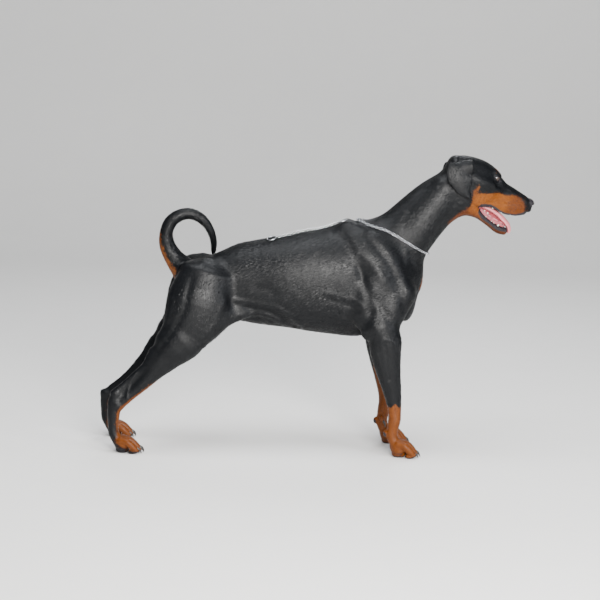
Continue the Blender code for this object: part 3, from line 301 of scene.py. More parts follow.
def hind_leg(s):
    back = -FAR_HIND_BACK if s > 0 else 0.0
    foot = HIND_FOOT_Y
    drop = HOCK_DROP if s > 0 else 0.0

    def place(rows):
        share = [min(max((0.31 - r[2]) / 0.18, 0), 1) for r in rows]
        return [(r[0] + back * f, r[1] * s, *r[2:]) for r, f in zip(rows, share)]

    thigh = [(-0.262, 0.058, 0.500, 0.044, 0.070, 0.076), (-0.280, 0.074, 0.440, 0.047, 0.086, 0.090),
             (-0.296, 0.082, 0.385, 0.043, 0.084, 0.086), (-0.316, 0.086, 0.340, 0.037, 0.066, 0.076),
             (-0.342, 0.088, 0.306, 0.033, 0.050, 0.060)]
    shank = [(-0.330, 0.088, 0.320, 0.034, 0.048, 0.054), (-0.3550, 0.089, 0.2960, 0.0330, 0.050, 0.052),
             (-0.3810, 0.090, 0.2650, 0.0285, 0.043, 0.043), (-0.4070, 0.091, 0.2300, 0.0225, 0.0285, 0.029),
             (-0.4340, 0.092, 0.1965 - 0.6 * drop, 0.0175, 0.0190, 0.0185),
             (-0.4680, 0.092, 0.1640 - drop, 0.0148, 0.0150, 0.0135),
             (-0.5000, foot, 0.1335 - drop, 0.0165, 0.0155, 0.0155)]
    heel = [(-0.5100, foot, 0.127, 0.0165, 0.0190, 0.0215)] if s > 0 else \
        [(-0.5105, foot, 0.166, 0.0125, 0.0130, 0.0140), (-0.5120, foot, 0.142, 0.0150, 0.0175, 0.0205)]
    cannon = [*heel, (-0.5145, foot, 0.108, 0.0158, 0.0180, 0.0190),
              (-0.5155, foot, 0.078, 0.0150, 0.0160, 0.0160), (-0.5130, foot, 0.053, 0.0165, 0.0160, 0.0160),
              (-0.5030, foot, 0.036, 0.0190, 0.0160, 0.0160)]
    knee = place([(-0.306, 0.092, 0.300, 0, 0, 0)])[0][:3]
    fold = [(-0.165, 0.064, 0.407, 0.016, 0.028, 0.026), (-0.205, 0.076, 0.386, 0.016, 0.024, 0.026),
            (-0.250, 0.084, 0.352, 0.018, 0.020, 0.026)]
    return [Sweep(place(thigh), 0.030, 2.1, (0.03, 0.04)), Sweep(place(shank), 0.020, 2.0, (0.03, 0.016)),
            Sweep(place(HIND_WEB[s]), 0.012, 2.0, (0.01, 0.01)),
            Sweep(place(HIND_TENDON[s]), 0.010, 2.0, (0.01, 0.009)),
            Sweep(place(cannon), 0.010, 2.0, (0.009, 0.012)), Ball(knee, (0.020, 0.020, 0.024), 0.020),
            Sweep(place(fold), 0.024, 2.0, (0.02, 0.02)), *paw_shapes(-0.471 + back, foot * s, 0.94)]


TAIL_ROWS = [(-0.300, 0.000, 0.492, 0.030, 0.034, 0.034), (-0.336, 0.000, 0.515, 0.027, 0.032, 0.034),
             (-0.360, 0.000, 0.543, 0.023, 0.026, 0.027), (-0.3765, 0.001, 0.574, 0.020, 0.0225, 0.0225),
             (-0.3805, 0.003, 0.606, 0.018, 0.019, 0.019), (-0.370, 0.006, 0.638, 0.017, 0.0185, 0.0185),
             (-0.347, 0.010, 0.657, 0.016, 0.0175, 0.0175), (-0.320, 0.015, 0.6635, 0.015, 0.0165, 0.0165),
             (-0.294, 0.021, 0.656, 0.0135, 0.0155, 0.0155), (-0.2705, 0.028, 0.637, 0.0125, 0.013, 0.013),
             (-0.2535, 0.038, 0.607, 0.011, 0.011, 0.011), (-0.2465, 0.050, 0.577, 0.0095, 0.0095, 0.0095),
             (-0.2465, 0.062, 0.553, 0.0072, 0.0075, 0.0075)]


def skull_shapes():
    skull = mid([(-0.098, 0.008, 0.038, 0.036, 0.044), (-0.070, 0.011, 0.047, 0.045, 0.050),
                 (-0.030, 0.013, 0.0500, 0.0505, 0.052), (0.003, 0.012, 0.0460, 0.0475, 0.050),
                 (0.026, 0.006, 0.0380, 0.0370, 0.044)])
    muzzle = mid([(0.026, 0.000, 0.0350, 0.0340, 0.038), (0.060, -0.003, 0.0285, 0.0370, 0.034),
                  (0.100, -0.004, 0.0240, 0.0345, 0.032), (0.130, 0.000, 0.0210, 0.0280, 0.0275),
                  (0.145, 0.004, 0.0165, 0.0225, 0.0190)])
    shapes = [Sweep(skull, 0.02, 2.2, (0.022, 0.020)), Sweep(muzzle, 0.020, 2.5, (0.03, 0.012)),
              Ball((0.1465, 0, 0.0145), (0.0140, 0.0145, 0.0118), 0.005)]
    for s in (-1, 1):
        lip = [(0.016, 0.0330 * s, -0.049, 0.0050, 0.014, 0.006),
               (0.045, 0.0290 * s, -0.034, 0.0052, 0.016, 0.0095),
               (0.085, 0.0240 * s, -0.031, 0.0050, 0.016, 0.0110),
               (0.118, 0.0185 * s, -0.027, 0.0048, 0.014, 0.0105),
               (0.138, 0.0095 * s, -0.018, 0.0046, 0.010, 0.0080)]
        arch = [(0.030, 0.0350 * s, 0.013, 0.008, 0.008, 0.009),
                (-0.012, 0.0480 * s, 0.006, 0.009, 0.009, 0.010),
                (-0.055, 0.0430 * s, 0.006, 0.009, 0.009, 0.010)]
        shapes += [Sweep(lip, 0.010, 2.0, (0.006, 0.008)), Sweep(arch, 0.018, 2.0, (0.01, 0.01)),
                   Ball((-0.024, 0.0350 * s, -0.020), (0.050, 0.0185, 0.042), 0.022, 12),
                   Ball((0.0150, 0.0240 * s, 0.0440), (0.017, 0.012, 0.0095), 0.012, 15)]
    return shapes


def jaw_shapes():
    rows = mid([(-0.040, -0.062, 0.036, 0.034, 0.032), (0.002, -0.074, 0.0345, 0.022, 0.020),
                (0.035, -0.0815, 0.0300, 0.0130, 0.0115), (0.070, -0.0880, 0.0235, 0.0110, 0.0110),
                (0.095, -0.0915, 0.0190, 0.0120, 0.0130), (0.1135, -0.0895, 0.0145, 0.0120, 0.0120)])
    return [Sweep(rows, 0.010, 2.3, (0.02, 0.011))]


def mouth_shapes():
    palate = mid([(0.002, -0.048, 0.016, 0.012, 0.016), (0.030, -0.046, 0.0230, 0.018, 0.020),
                  (0.070, -0.047, 0.0205, 0.0215, 0.024), (0.100, -0.047, 0.0165, 0.0215, 0.024),
                  (0.118, -0.046, 0.0115, 0.0180, 0.024)])
    floor = mid([(0.004, -0.056, 0.016, 0.016, 0.012), (0.035, -0.064, 0.0215, 0.016, 0.0125),
                 (0.070, -0.068, 0.0165, 0.016, 0.0150), (0.097, -0.070, 0.0115, 0.016, 0.0145)])
    return [Sweep(palate, 0.004, 2.4, (0.006, 0.006)), Sweep(floor, 0.004, 2.2, (0.006, 0.007))]


EAR_ROWS = [(-0.0880, 0.0260, 0.0250, 0.0180, 0.0075, 0.0075),
            (-0.0925, 0.0400, 0.0300, 0.0250, 0.0048, 0.0048),
            (-0.0945, 0.0530, 0.0205, 0.0315, 0.0038, 0.0038),
            (-0.0900, 0.0575, 0.0015, 0.0375, 0.0031, 0.0031),
            (-0.0740, 0.0605, -0.0160, 0.0330, 0.0029, 0.0029),
            (-0.0565, 0.0605, -0.0350, 0.0215, 0.0027, 0.0027),
            (-0.0375, 0.0580, -0.0455, 0.0100, 0.0025, 0.0025),
            (-0.0275, 0.0560, -0.0500, 0.0045, 0.0022, 0.0022)]


class Body:
    """The whole flesh as one distance field."""

    def __init__(self):
        self.trunk = trunk_shapes() + neck_shapes()
        self.tail = Sweep(TAIL_ROWS, 0.030, 2.0, (0.02, 0.010))
        self.legs = [front_leg(-1), front_leg(1), hind_leg(-1), hind_leg(1)]
        self.skull = skull_shapes()
        self.jaw = jaw_shapes()
        self.mouth = mouth_shapes()
        self.orbits = [Ball((0.031, 0.041 * s, 0.027), (0.016, 0.0105, 0.0120), 0.010) for s in (-1, 1)]

    def __call__(self, p):
        d = union(self.trunk, p)
        near = nearby(self.tail, p, SMOOTH_REACH)
        if len(near):
            root = (np.clip((-0.315 - p[near, 0]) / 0.03, 0.03, 1)
                    * np.clip((0.60 - p[near, 2]) / 0.03, 0.03, 1))
            d[near] = smooth_min(d[near], self.tail.distance(p[near]), 0.030 * root)
        for leg in self.legs:
            d = smooth_min(d, union(leg, p), 0.020)
        near = np.flatnonzero(p[:, 0] > 0.34)
        if len(near):
            q = to_head(p[near])
            head = carve(union(self.skull, q), self.orbits, q)
            head = smooth_min(head, union(self.jaw, q), 0.010)
            head = carve(head, self.mouth, q)
            throat = carve(d[near], self.mouth, q)
            d[near] = smooth_min(throat, head, 0.022)
        return d


# A closed mesh on the zero level of a distance field
CORNERS = np.array([(i, j, k) for i in (0, 1) for j in (0, 1) for k in (0, 1)])
CUBE_EDGES = [(axis, du, dv) for axis in range(3) for du in (0, 1) for dv in (0, 1)]


def corner_of(axis, along, du, dv):
    spot = [0, 0, 0]
    spot[axis], spot[(axis + 1) % 3], spot[(axis + 2) % 3] = along, du, dv
    return 4 * spot[0] + 2 * spot[1] + spot[2]


EDGE_ENDS = [(corner_of(a, 0, du, dv), corner_of(a, 1, du, dv)) for a, du, dv in CUBE_EDGES]


def sheet_table():
    """For each pattern of inside corners, the sheet of surface that each edge of a cube belongs to."""
    sides = [[k for k in range(8) if CORNERS[k][axis] == end] for axis in range(3) for end in (0, 1)]
    table, counts = np.zeros((256, 12), int), np.zeros(256, int)
    for pattern in range(256):
        inside = [bool(pattern >> k & 1) for k in range(8)]
        cross = [e for e, (a, b) in enumerate(EDGE_ENDS) if inside[a] != inside[b]]
        group = {e: e for e in cross}

        def join(e, f):
            old, new = group[f], group[e]
            for g in group:
                if group[g] == old:
                    group[g] = new

        for side in sides:
            on = [e for e in cross if EDGE_ENDS[e][0] in side and EDGE_ENDS[e][1] in side]
            if len(on) == 2:
                join(*on)
            for k in side if len(on) == 4 else ():
                if inside[k]:
                    join(*[e for e in on if k in EDGE_ENDS[e]])
        names = sorted(set(group.values()))
        counts[pattern] = len(names)
        for e in cross:
            table[pattern, e] = names.index(group[e])
    return table, counts


def net(field, low, high, cell, block=4):
    """Points and four-sided faces of the zero level, closed and without pinched edges."""
    low = np.array(low, float)
    blocks = np.ceil((np.array(high) - low) / (cell * block)).astype(int)
    places = np.stack(np.meshgrid(*[np.arange(n) for n in blocks], indexing="ij"), -1)
    middle = (places + 0.5) * cell * block + low
    rough = field(middle.reshape(-1, 3)).reshape(blocks)
    near = np.argwhere(np.abs(rough) < cell * block * 1.05)
    value = np.ones(blocks * block + 1)
    value[:-1, :-1, :-1] = rough.repeat(block, 0).repeat(block, 1).repeat(block, 2)
    wanted = np.zeros(value.shape, bool)
    for step in np.ndindex(block + 1, block + 1, block + 1):
        wanted[tuple((near * block + step).T)] = True
    value[wanted] = field(np.argwhere(wanted) * cell + low)
    inside = value < 0
    pattern = sum(inside[tuple(slice(c, n - 1 + c) for c, n in zip(corner, value.shape))].astype(int) << k
                  for k, corner in enumerate(CORNERS))
    cells = np.argwhere((pattern > 0) & (pattern < 255))
    table, counts = sheet_table()
    pattern = pattern[tuple(cells.T)]
    first = np.concatenate([[0], np.cumsum(counts[pattern])])
    total, hits = np.zeros((first[-1], 3)), np.zeros(first[-1])
    for e, (a, b) in enumerate(EDGE_ENDS):
        va, vb = value[tuple((cells + CORNERS[a]).T)], value[tuple((cells + CORNERS[b]).T)]
        cross = np.flatnonzero((va < 0) != (vb < 0))
        t = va[cross] / (va[cross] - vb[cross])
        spot = first[cross] + table[pattern[cross], e]
        np.add.at(total, spot, cells[cross] + CORNERS[a] + t[:, None] * (CORNERS[b] - CORNERS[a]))
        np.add.at(hits, spot, 1)
    points = total / hits[:, None] * cell + low
    number = np.full(value.shape, -1)
    number[tuple(cells.T)] = np.arange(len(cells))
    faces = []
    for axis in range(3):
        u, v = (axis + 1) % 3, (axis + 2) % 3
        edges = np.argwhere(inside != np.roll(inside, -1, axis))
        edges = edges[(edges[:, axis] < value.shape[axis] - 1) & (edges[:, u] > 0) & (edges[:, v] > 0)]
        ring = []
        for du, dv in ((0, 0), (1, 0), (1, 1), (0, 1)):
            shift = edges.copy()
            shift[:, u] -= du
            shift[:, v] -= dv
            k = number[tuple(shift.T)]
            ring.append(first[k] + table[pattern[k], CUBE_EDGES.index((axis, du, dv))])
        quad = np.stack(ring, 1)
        faces.append(np.where(inside[tuple(edges.T)][:, None], quad, quad[:, ::-1]))
    return points, np.vstack(faces)


# Relief of muscles, folds and veins: height and width in millimetres, how far from the middle, then x and z
RELIEF = [
    (-2.8, 12, 0.030, [(0.159, 0.536), (0.174, 0.499), (0.185, 0.466), (0.192, 0.415)]),
    (-1.8, 10, 0.050, [(0.208, 0.453), (0.233, 0.416), (0.252, 0.383)]),
    (1.0, 9, 0.060, [(0.216, 0.435), (0.206, 0.411), (0.203, 0.378)]),
    (-2.0, 7, 0.030, [(0.079, 0.448), (0.108, 0.439), (0.136, 0.431), (0.161, 0.419)]),
    (1.5, 7, 0.030, [(0.070, 0.467), (0.107, 0.460), (0.144, 0.450), (0.170, 0.431)]),
    (2.0, 16, 0.020, [(0.139, 0.620), (0.159, 0.583), (0.197, 0.547), (0.236, 0.491), (0.266, 0.431)]),
    (-3.0, 12, 0.020, [(0.181, 0.621), (0.234, 0.562), (0.274, 0.488), (0.286, 0.422)]),
    (2.5, 10, 0.020, [(0.290, 0.583), (0.297, 0.541), (0.314, 0.513)]),
    (2.2, 7, 0.030, [(-0.184, 0.439), (-0.128, 0.430), (-0.072, 0.422), (-0.030, 0.400), (-0.001, 0.369)]),
    (-3.2, 7, 0.030, [(-0.155, 0.417), (-0.100, 0.411), (-0.050, 0.390), (-0.011, 0.360)]),
    (2.0, 6, 0.020, [(-0.169, 0.394), (-0.120, 0.398), (-0.078, 0.391), (-0.046, 0.368)]),
    (-2.0, 5, 0.020, [(-0.154, 0.381), (-0.113, 0.386), (-0.081, 0.377)]),
    (-1.5, 14, 0.030, [(-0.122, 0.476), (-0.094, 0.469), (-0.080, 0.463)]),
    (-2.2, 9, 0.050, [(-0.305, 0.497), (-0.315, 0.455), (-0.321, 0.413), (-0.354, 0.349), (-0.395, 0.292)]),
    (1.8, 7, 0.050, [(-0.356, 0.440), (-0.369, 0.384), (-0.399, 0.327)]),
    (1.8, 9, 0.050, [(-0.211, 0.437), (-0.237, 0.373), (-0.271, 0.330)]),
    (2.5, 12, 0.030, [(-0.269, 0.555), (-0.276, 0.541)]),
    (-1.6, 4.5, 0.085, [(0.237, 0.322), (0.245, 0.275), (0.252, 0.227)]),
    (1.5, 3.5, 0.082, [(0.214, 0.302), (0.234, 0.236), (0.246, 0.174)]),
    (1.4, 4, 0.085, [(0.220, 0.331), (0.233, 0.343), (0.252, 0.340), (0.260, 0.308)]),
    (1.4, 3, 0.088, [(-0.433, 0.272), (-0.451, 0.235), (-0.472, 0.201), (-0.478, 0.172), (-0.478, 0.143)])]
HEAD_RELIEF = [
    (-1.2, 6, [(0.028, 0.012), (0.050, 0.013), (0.072, 0.016)]),
    (-0.9, 1.8, [(-0.002, -0.030), (0.003, -0.046), (0.010, -0.060)]),
    (-0.6, 1.8, [(0.009, -0.022), (0.012, -0.036), (0.018, -0.047)]),
    (-0.9, 3, [(0.022, -0.033), (0.050, -0.027), (0.080, -0.018)]),
    (0.8, 5, [(0.032, 0.020), (0.010, 0.012), (-0.015, 0.012)])]
WHISKERS = [(0.0836, -0.0132), (0.0858, -0.0199), (0.0967, -0.0132), (0.0912, -0.0251), (0.1082, -0.0127),
            (0.0976, -0.0298), (0.1105, -0.0221),
            (0.0872, -0.0077), (0.0947, -0.0014), (0.1039, 0.0017), (0.0926, -0.0155), (0.1018, -0.0098),
            (0.1132, -0.0057), (0.1003, -0.0223), (0.1117, -0.0182), (0.1220, -0.0119), (0.1080, -0.0280)]
FLEWS = [(0.030, 0.0305, -0.0480, 0.0036), (0.040, 0.0300, -0.0436, 0.0036), (0.050, 0.0288, -0.0420, 0.0038),
         (0.060, 0.0272, -0.0422, 0.0044), (0.072, 0.0256, -0.0436, 0.0046), (0.089, 0.0232, -0.0428, 0.0044),
         (0.100, 0.0215, -0.0405, 0.0038), (0.111, 0.0195, -0.0375, 0.0034), (0.120, 0.0175, -0.0350, 0.0030)]
NIPPLES = [(-0.150, 0.030), (-0.100, 0.036), (-0.045, 0.040), (0.010, 0.042), (0.097, 0.044)]


def step(x, low, high):
    """0 below low and 1 above high, smooth between."""
    t = np.clip((x - low) / (high - low), 0, 1)
    return t * t * (3 - 2 * t)


def line_distance(q, points):
    """Distance of plane points from a line through a few points."""
    best = np.full(len(q), 1e9)
    points = np.array(points, float)
    for a, b in zip(points[:-1], points[1:]):
        edge = b - a
        t = np.clip((q - a) @ edge / (edge @ edge), 0, 1)
        best = np.minimum(best, np.linalg.norm(q - a - t[:, None] * edge, axis=1))
    return best


def polygon_depth(q, points):
    """How far plane points lie inside a closed outline; outside it is negative."""
    inside = np.zeros(len(q), bool)
    for (ax, ay), (bx, by) in zip(points, points[1:] + points[:1]):
        crosses = (ay > q[:, 1]) != (by > q[:, 1])
        with np.errstate(divide="ignore", invalid="ignore"):
            at = (bx - ax) * (q[:, 1] - ay) / (by - ay) + ax
        inside ^= crosses & (q[:, 0] < at)
    return line_distance(q, points + points[:1]) * np.where(inside, 1.0, -1.0)


def straight(p):
    """x and z of points with the set-back of the far legs taken out."""
    fore = np.clip((0.34 - p[:, 2]) / 0.24, 0, 1) * FAR_FRONT_BACK
    rear = np.clip((0.31 - p[:, 2]) / 0.18, 0, 1) * FAR_HIND_BACK
    x = p[:, 0] + (p[:, 1] > 0) * np.where(p[:, 0] > 0, fore, rear)
    return np.stack([x, p[:, 2]], 1)


def relief(p):
    q, away = straight(p), np.abs(p[:, 1])
    h = np.zeros(len(p))
    for height, width, start, points in RELIEF:
        spots = np.array(points)
        reach = 0.0025 * width
        k = np.flatnonzero(((q > spots.min(0) - reach) & (q < spots.max(0) + reach)).all(1) & (away > start))
        if len(k):
            swell = np.exp(-(line_distance(q[k], points) / (0.001 * width)) ** 2)
            h[k] += 0.001 * height * swell * step(away[k], start, start + 0.015)
    return h


def toe_grooves(p):
    """Depth of the clefts between the toes."""
    h = np.zeros(len(p))
    low = np.flatnonzero(p[:, 2] < 0.052)
    for s in (-1, 1):
        for x, y, scale in ((0.306 - FAR_FRONT_BACK * (s > 0), FRONT_FOOT_Y * s, 1.0),
                            (-0.471 - FAR_HIND_BACK * (s > 0), HIND_FOOT_Y * s, 0.94)):
            q = (p[low] - (x, y, 0)) / scale
            k = np.flatnonzero((np.abs(q[:, 0]) < 0.05) & (np.abs(q[:, 1]) < 0.034))
            cut = sum(np.exp(-((q[k, 1] - 0.0150 * i) / 0.0023) ** 2) for i in (-1, 0, 1))
            fade = step(q[k, 0], -0.020, 0.004) * (1 - step(q[k, 2], 0.038, 0.050))
            h[low[k]] += 0.0042 * cut * fade
    return h


def head_relief(q):
    flat = q[:, [0, 2]]
    h = np.zeros(len(q))
    for height, width, points in HEAD_RELIEF:
        h += 0.001 * height * np.exp(-(line_distance(flat, points) / (0.001 * width)) ** 2)
    for spot in WHISKERS:
        h += 0.0005 * np.exp(-(((flat - spot) ** 2).sum(1)) / 0.0012 ** 2)
    return h * step(np.abs(q[:, 1]), 0.008, 0.016)


GAZE = [unit(np.array([0.62, 0.78 * s, -0.14])) for s in (-1, 1)]


def lids():
    """For each side the shell of the lids and the almond opening in it."""
    shells, slits = [], []
    for s, gaze in zip((-1, 1), GAZE):
        centre = np.array([EYE_CENTRE[0], EYE_CENTRE[1] * s, EYE_CENTRE[2]])
        shells.append(Ball(centre + gaze * 0.0004, (EYE_RADIUS + 0.0034,) * 3, 0.0045))
        slits.append(Ball(centre + gaze * EYE_RADIUS, (0.0116, 0.0095, 0.0034), 0.0010, 10, 1.7, -38.5 * s))
    return shells, slits


def nostrils():
    out = []
    for s in (-1, 1):
        out.append(Ball((0.1580, 0.0060 * s, 0.0125), (0.0046, 0.0031, 0.0029), 0.0012, -15, 2.0, 25 * s))
        out.append(Ball((0.1535, 0.0112 * s, 0.0085), (0.0056, 0.0016, 0.0014), 0.0010, 10, 2.0, 30 * s))
    out.append(Ball((0.1570, 0.0, -0.0010), (0.0050, 0.0008, 0.0110), 0.0008, -20))
    return out


class Skin(Body):
    """The flesh with its relief, lids and nostrils, lying inside by the coat's depth."""

    def __init__(self):
        super().__init__()
        self.shells, self.slits = lids()
        self.holes = nostrils()
        self.flews = [Sweep([(x, y * s, z, 0.0034, high, high) for x, y, z, high in FLEWS], 0.0025, 2.0,
                            (0.004, 0.004)) for s in (-1, 1)]
        self.buds = [Ball((x, y * s, 0.0), (0.0030,) * 3, 0.003) for x, y in NIPPLES for s in (-1, 1)]
        for bud in self.buds:
            line = np.array([bud.centre[0], bud.centre[1], 0.42]) - np.linspace(0, 0.14, 300)[:, None] * [0, 0, 1]
            bud.centre[2] = line[np.flatnonzero(super().__call__(line) < 0)[-1], 2] - 0.0008
            bud.low, bud.high = bud.centre - 0.003, bud.centre + 0.003

    def __call__(self, p):
        d = super().__call__(p) - relief(p) + toe_grooves(p)
        for bud in self.buds:
            k = nearby(bud, p, 0.006)
            if len(k):
                d[k] = smooth_min(d[k], bud.distance(p[k]), bud.blend)
        near = np.flatnonzero(p[:, 0] > 0.40)
        if len(near):
            q = to_head(p[near])
            head = d[near] - head_relief(q)
            for shell in self.shells:
                k = nearby(shell, q, 0.008)
                head[k] = smooth_min(head[k], shell.distance(q[k]), shell.blend)
            head = carve(carve(head, self.slits, q), self.holes, q)
            for flew in self.flews:
                k = nearby(flew, q, 0.008)
                head[k] = smooth_min(head[k], flew.distance(q[k]), flew.blend)
            d[near] = head
        return d + COAT_DEPTH


# Where hair lies, and the unwrap of each part of the body
def leg_line(s, rows, back, top, span):
    return plain([(x - back * min(max((top - z) / span, 0), 1) * (s > 0), y * s, z, r) for x, y, z, r in rows])


FORE_LINE = [(0.262, 0.085, 0.430, 0.040), (0.238, 0.087, 0.330, 0.040), (0.2495, 0.086, 0.250, 0.035),
             (0.2685, 0.082, 0.162, 0.023), (0.2710, 0.081, 0.100, 0.019), (0.2760, 0.081, 0.045, 0.020),
             (0.3000, 0.081, 0.022, 0.020), (0.3420, 0.081, 0.012, 0.020)]
HIND_LINE = [(-0.262, 0.060, 0.500, 0.070), (-0.296, 0.082, 0.385, 0.070), (-0.342, 0.088, 0.306, 0.050),
             (-0.407, 0.091, 0.230, 0.028), (-0.468, 0.092, 0.168, 0.018), (-0.508, 0.094, 0.128, 0.020),
             (-0.5145, 0.094, 0.085, 0.018), (-0.5050, 0.094, 0.042, 0.018), (-0.480, 0.094, 0.021, 0.018),
             (-0.438, 0.094, 0.011, 0.018)]
HEAD_LINE = [(-0.105, 0, 0.004, 0.045), (-0.030, 0, 0.008, 0.050), (0.026, 0, 0.000, 0.040),
             (0.090, 0, -0.004, 0.035), (0.135, 0, 0.002, 0.025), (0.162, 0, 0.008, 0.012)]
JAW_LINE = [(-0.040, 0, -0.062, 0.035), (0.035, 0, -0.080, 0.020), (0.090, 0, -0.088, 0.018), (0.126, 0, -0.088, 0.014)]
TRUNK_LINE = [(0.330, 0, 0.480, 0.07), (0.170, 0, 0.490, 0.12), (0.030, 0, 0.485, 0.12), (-0.110, 0, 0.480, 0.11),
              (-0.250, 0, 0.470, 0.09), (-0.360, 0, 0.470, 0.07)]
NECK_LINE = [(0.425, 0, 0.755, 0.07), (0.375, 0, 0.715, 0.07), (0.292, 0, 0.629, 0.08), (0.215, 0, 0.550, 0.09)]


def plain(rows):
    return with_arc(Sweep([(x, y, z, r, r, r) for x, y, z, r in rows], 0.02, 2.0, (0.02, 0.02)))


def with_arc(line):
    """The curve with the distance run at each of its points."""
    line.arc = np.concatenate([[0], np.cumsum(np.linalg.norm(np.diff(line.line, axis=0), axis=1))])
    return line


class Region:
    """A part of the body: how far away it is, the line its hair follows and its place on the unwrap."""

    def __init__(self, name, shapes, line, flow, box, in_head=False):
        self.name, self.shapes, self.line, self.flow, self.box = name, shapes, line, flow, box
        self.in_head = in_head

    def spot(self, p):
        return to_head(p) if self.in_head else p

    def distance(self, p):
        return union(self.shapes, self.spot(p), 0.08)

    def trace(self, p):
        """Unwrap, direction of the hair, and the offsets across the line."""
        q = self.spot(p)
        line = self.line
        t, a, b, c, along, _ = line.locate(q)
        u = (np.interp(t, np.arange(len(line.arc)), line.arc) + c + 0.05) / (line.arc[-1] + 0.10)
        v = np.arctan2(a, b) / (2 * math.pi) + 0.5
        flow = unit(along) * self.flow
        if self.in_head:
            flow = flow @ HEAD_TURN.T
        low_u, high_u, low_v, high_v = self.box
        u = low_u + (high_u - low_u) * np.clip(u, 0, 1)
        return np.stack([u, low_v + (high_v - low_v) * v], 1), flow, a, b


def regions(skin):
    out = [Region("trunk", trunk_shapes(), plain(TRUNK_LINE), 1, (0.00, 0.50, 0.50, 1.00)),
           Region("neck", neck_shapes(), plain(NECK_LINE), 1, (0.52, 0.77, 0.50, 0.75)),
           Region("head", skin.skull, plain(HEAD_LINE), -1, (0.52, 1.00, 0.76, 1.00), True),
           Region("jaw", skin.jaw, plain(JAW_LINE), -1, (0.79, 1.00, 0.63, 0.75), True),
           Region("tail", [skin.tail], with_arc(skin.tail), 1, (0.79, 1.00, 0.50, 0.61))]
    for i, (s, side) in enumerate(((-1, "right"), (1, "left"))):
        fore = leg_line(s, FORE_LINE, FAR_FRONT_BACK, 0.34, 0.24)
        rear = leg_line(s, HIND_LINE, FAR_HIND_BACK, 0.31, 0.18)
        out.append(Region("fore_" + side, skin.legs[i], fore, 1, (0.00, 0.40, 0.25 * i, 0.25 * i + 0.23)))
        out.append(Region("hind_" + side, skin.legs[2 + i], rear, 1, (0.42, 0.82, 0.25 * i, 0.25 * i + 0.23)))
    return out


def survey(parts, p, n):
    """Region number, place on each region's unwrap and hair direction for surface points with normals."""
    away = np.stack([part.distance(p) for part in parts], 1)
    best = away.argmin(1)
    places = np.zeros((len(parts), len(p), 2))
    flow = np.zeros((len(p), 3))
    pull = np.exp(-np.clip(away - away.min(1, keepdims=True), 0, 0.1) / 0.012)
    for k, part in enumerate(parts):
        near = np.flatnonzero(pull[:, k] > 0.02)
        places[k, near], lie, _, _ = part.trace(p[near])
        flow[near] += pull[near, k:k + 1] * lie
    flow[:, 2] -= (best <= 1) * 0.35 * np.abs(n[:, 1])
    flow -= (flow * n).sum(1, keepdims=True) * n
    return best, places, unit(flow + 1e-9)


# Markings, shared by skin and coat, with painted shade among them: at the throat, the ear's shadow on the cheek, and
# less rust on the far hind leg
RUST_FACE = [(-0.0291, -0.0260), (-0.0262, -0.0166), (-0.0240, -0.0085), (-0.0205, -0.0066), (-0.0181, -0.0170),
             (-0.0165, -0.0268), (-0.0040, -0.0215), (0.0135, -0.0147), (0.0302, -0.0054), (0.0431, 0.0008),
             (0.0648, 0.0010), (0.0750, 0.0060), (0.0875, 0.0125), (0.0996, 0.0150), (0.1120, 0.0130),
             (0.1235, 0.0065), (0.1335, -0.0040), (0.1390, -0.0180), (0.1440, -0.0400), (0.1600, -0.1400),
             (-0.0500, -0.1500),
             (-0.0438, -0.1286), (-0.0385, -0.1130), (-0.0299, -0.0985), (-0.0208, -0.0825), (-0.0139, -0.0675),
             (-0.0180, -0.0530)]
LOWER_LIP = [(0.0130, -0.0600), (0.0272, -0.0660), (0.0468, -0.0710), (0.0826, -0.0710), (0.1022, -0.0725),
             (0.1260, -0.0740), (0.1270, -0.0850), (0.1174, -0.0900), (0.1035, -0.0940), (0.0915, -0.0958),
             (0.0780, -0.0940), (0.0620, -0.0900), (0.0500, -0.0885), (0.0327, -0.0855), (0.0157, -0.0750)]
UPPER_LIP = [(0.0080, -0.0500), (0.0200, -0.0440), (0.0375, -0.0382), (0.0558, -0.0387), (0.0703, -0.0415),
             (0.0883, -0.0415), (0.1078, -0.0365), (0.1200, -0.0310), (0.1295, -0.0240), (0.1420, -0.0140),
             (0.1540, -0.0100), (0.1540, -0.0300), (0.1100, -0.0640), (0.0500, -0.0660), (0.0080, -0.0620)]
CHEST_PATCH = [(0.006, 0.508), (0.021, 0.500), (0.020, 0.474), (0.009, 0.476)]


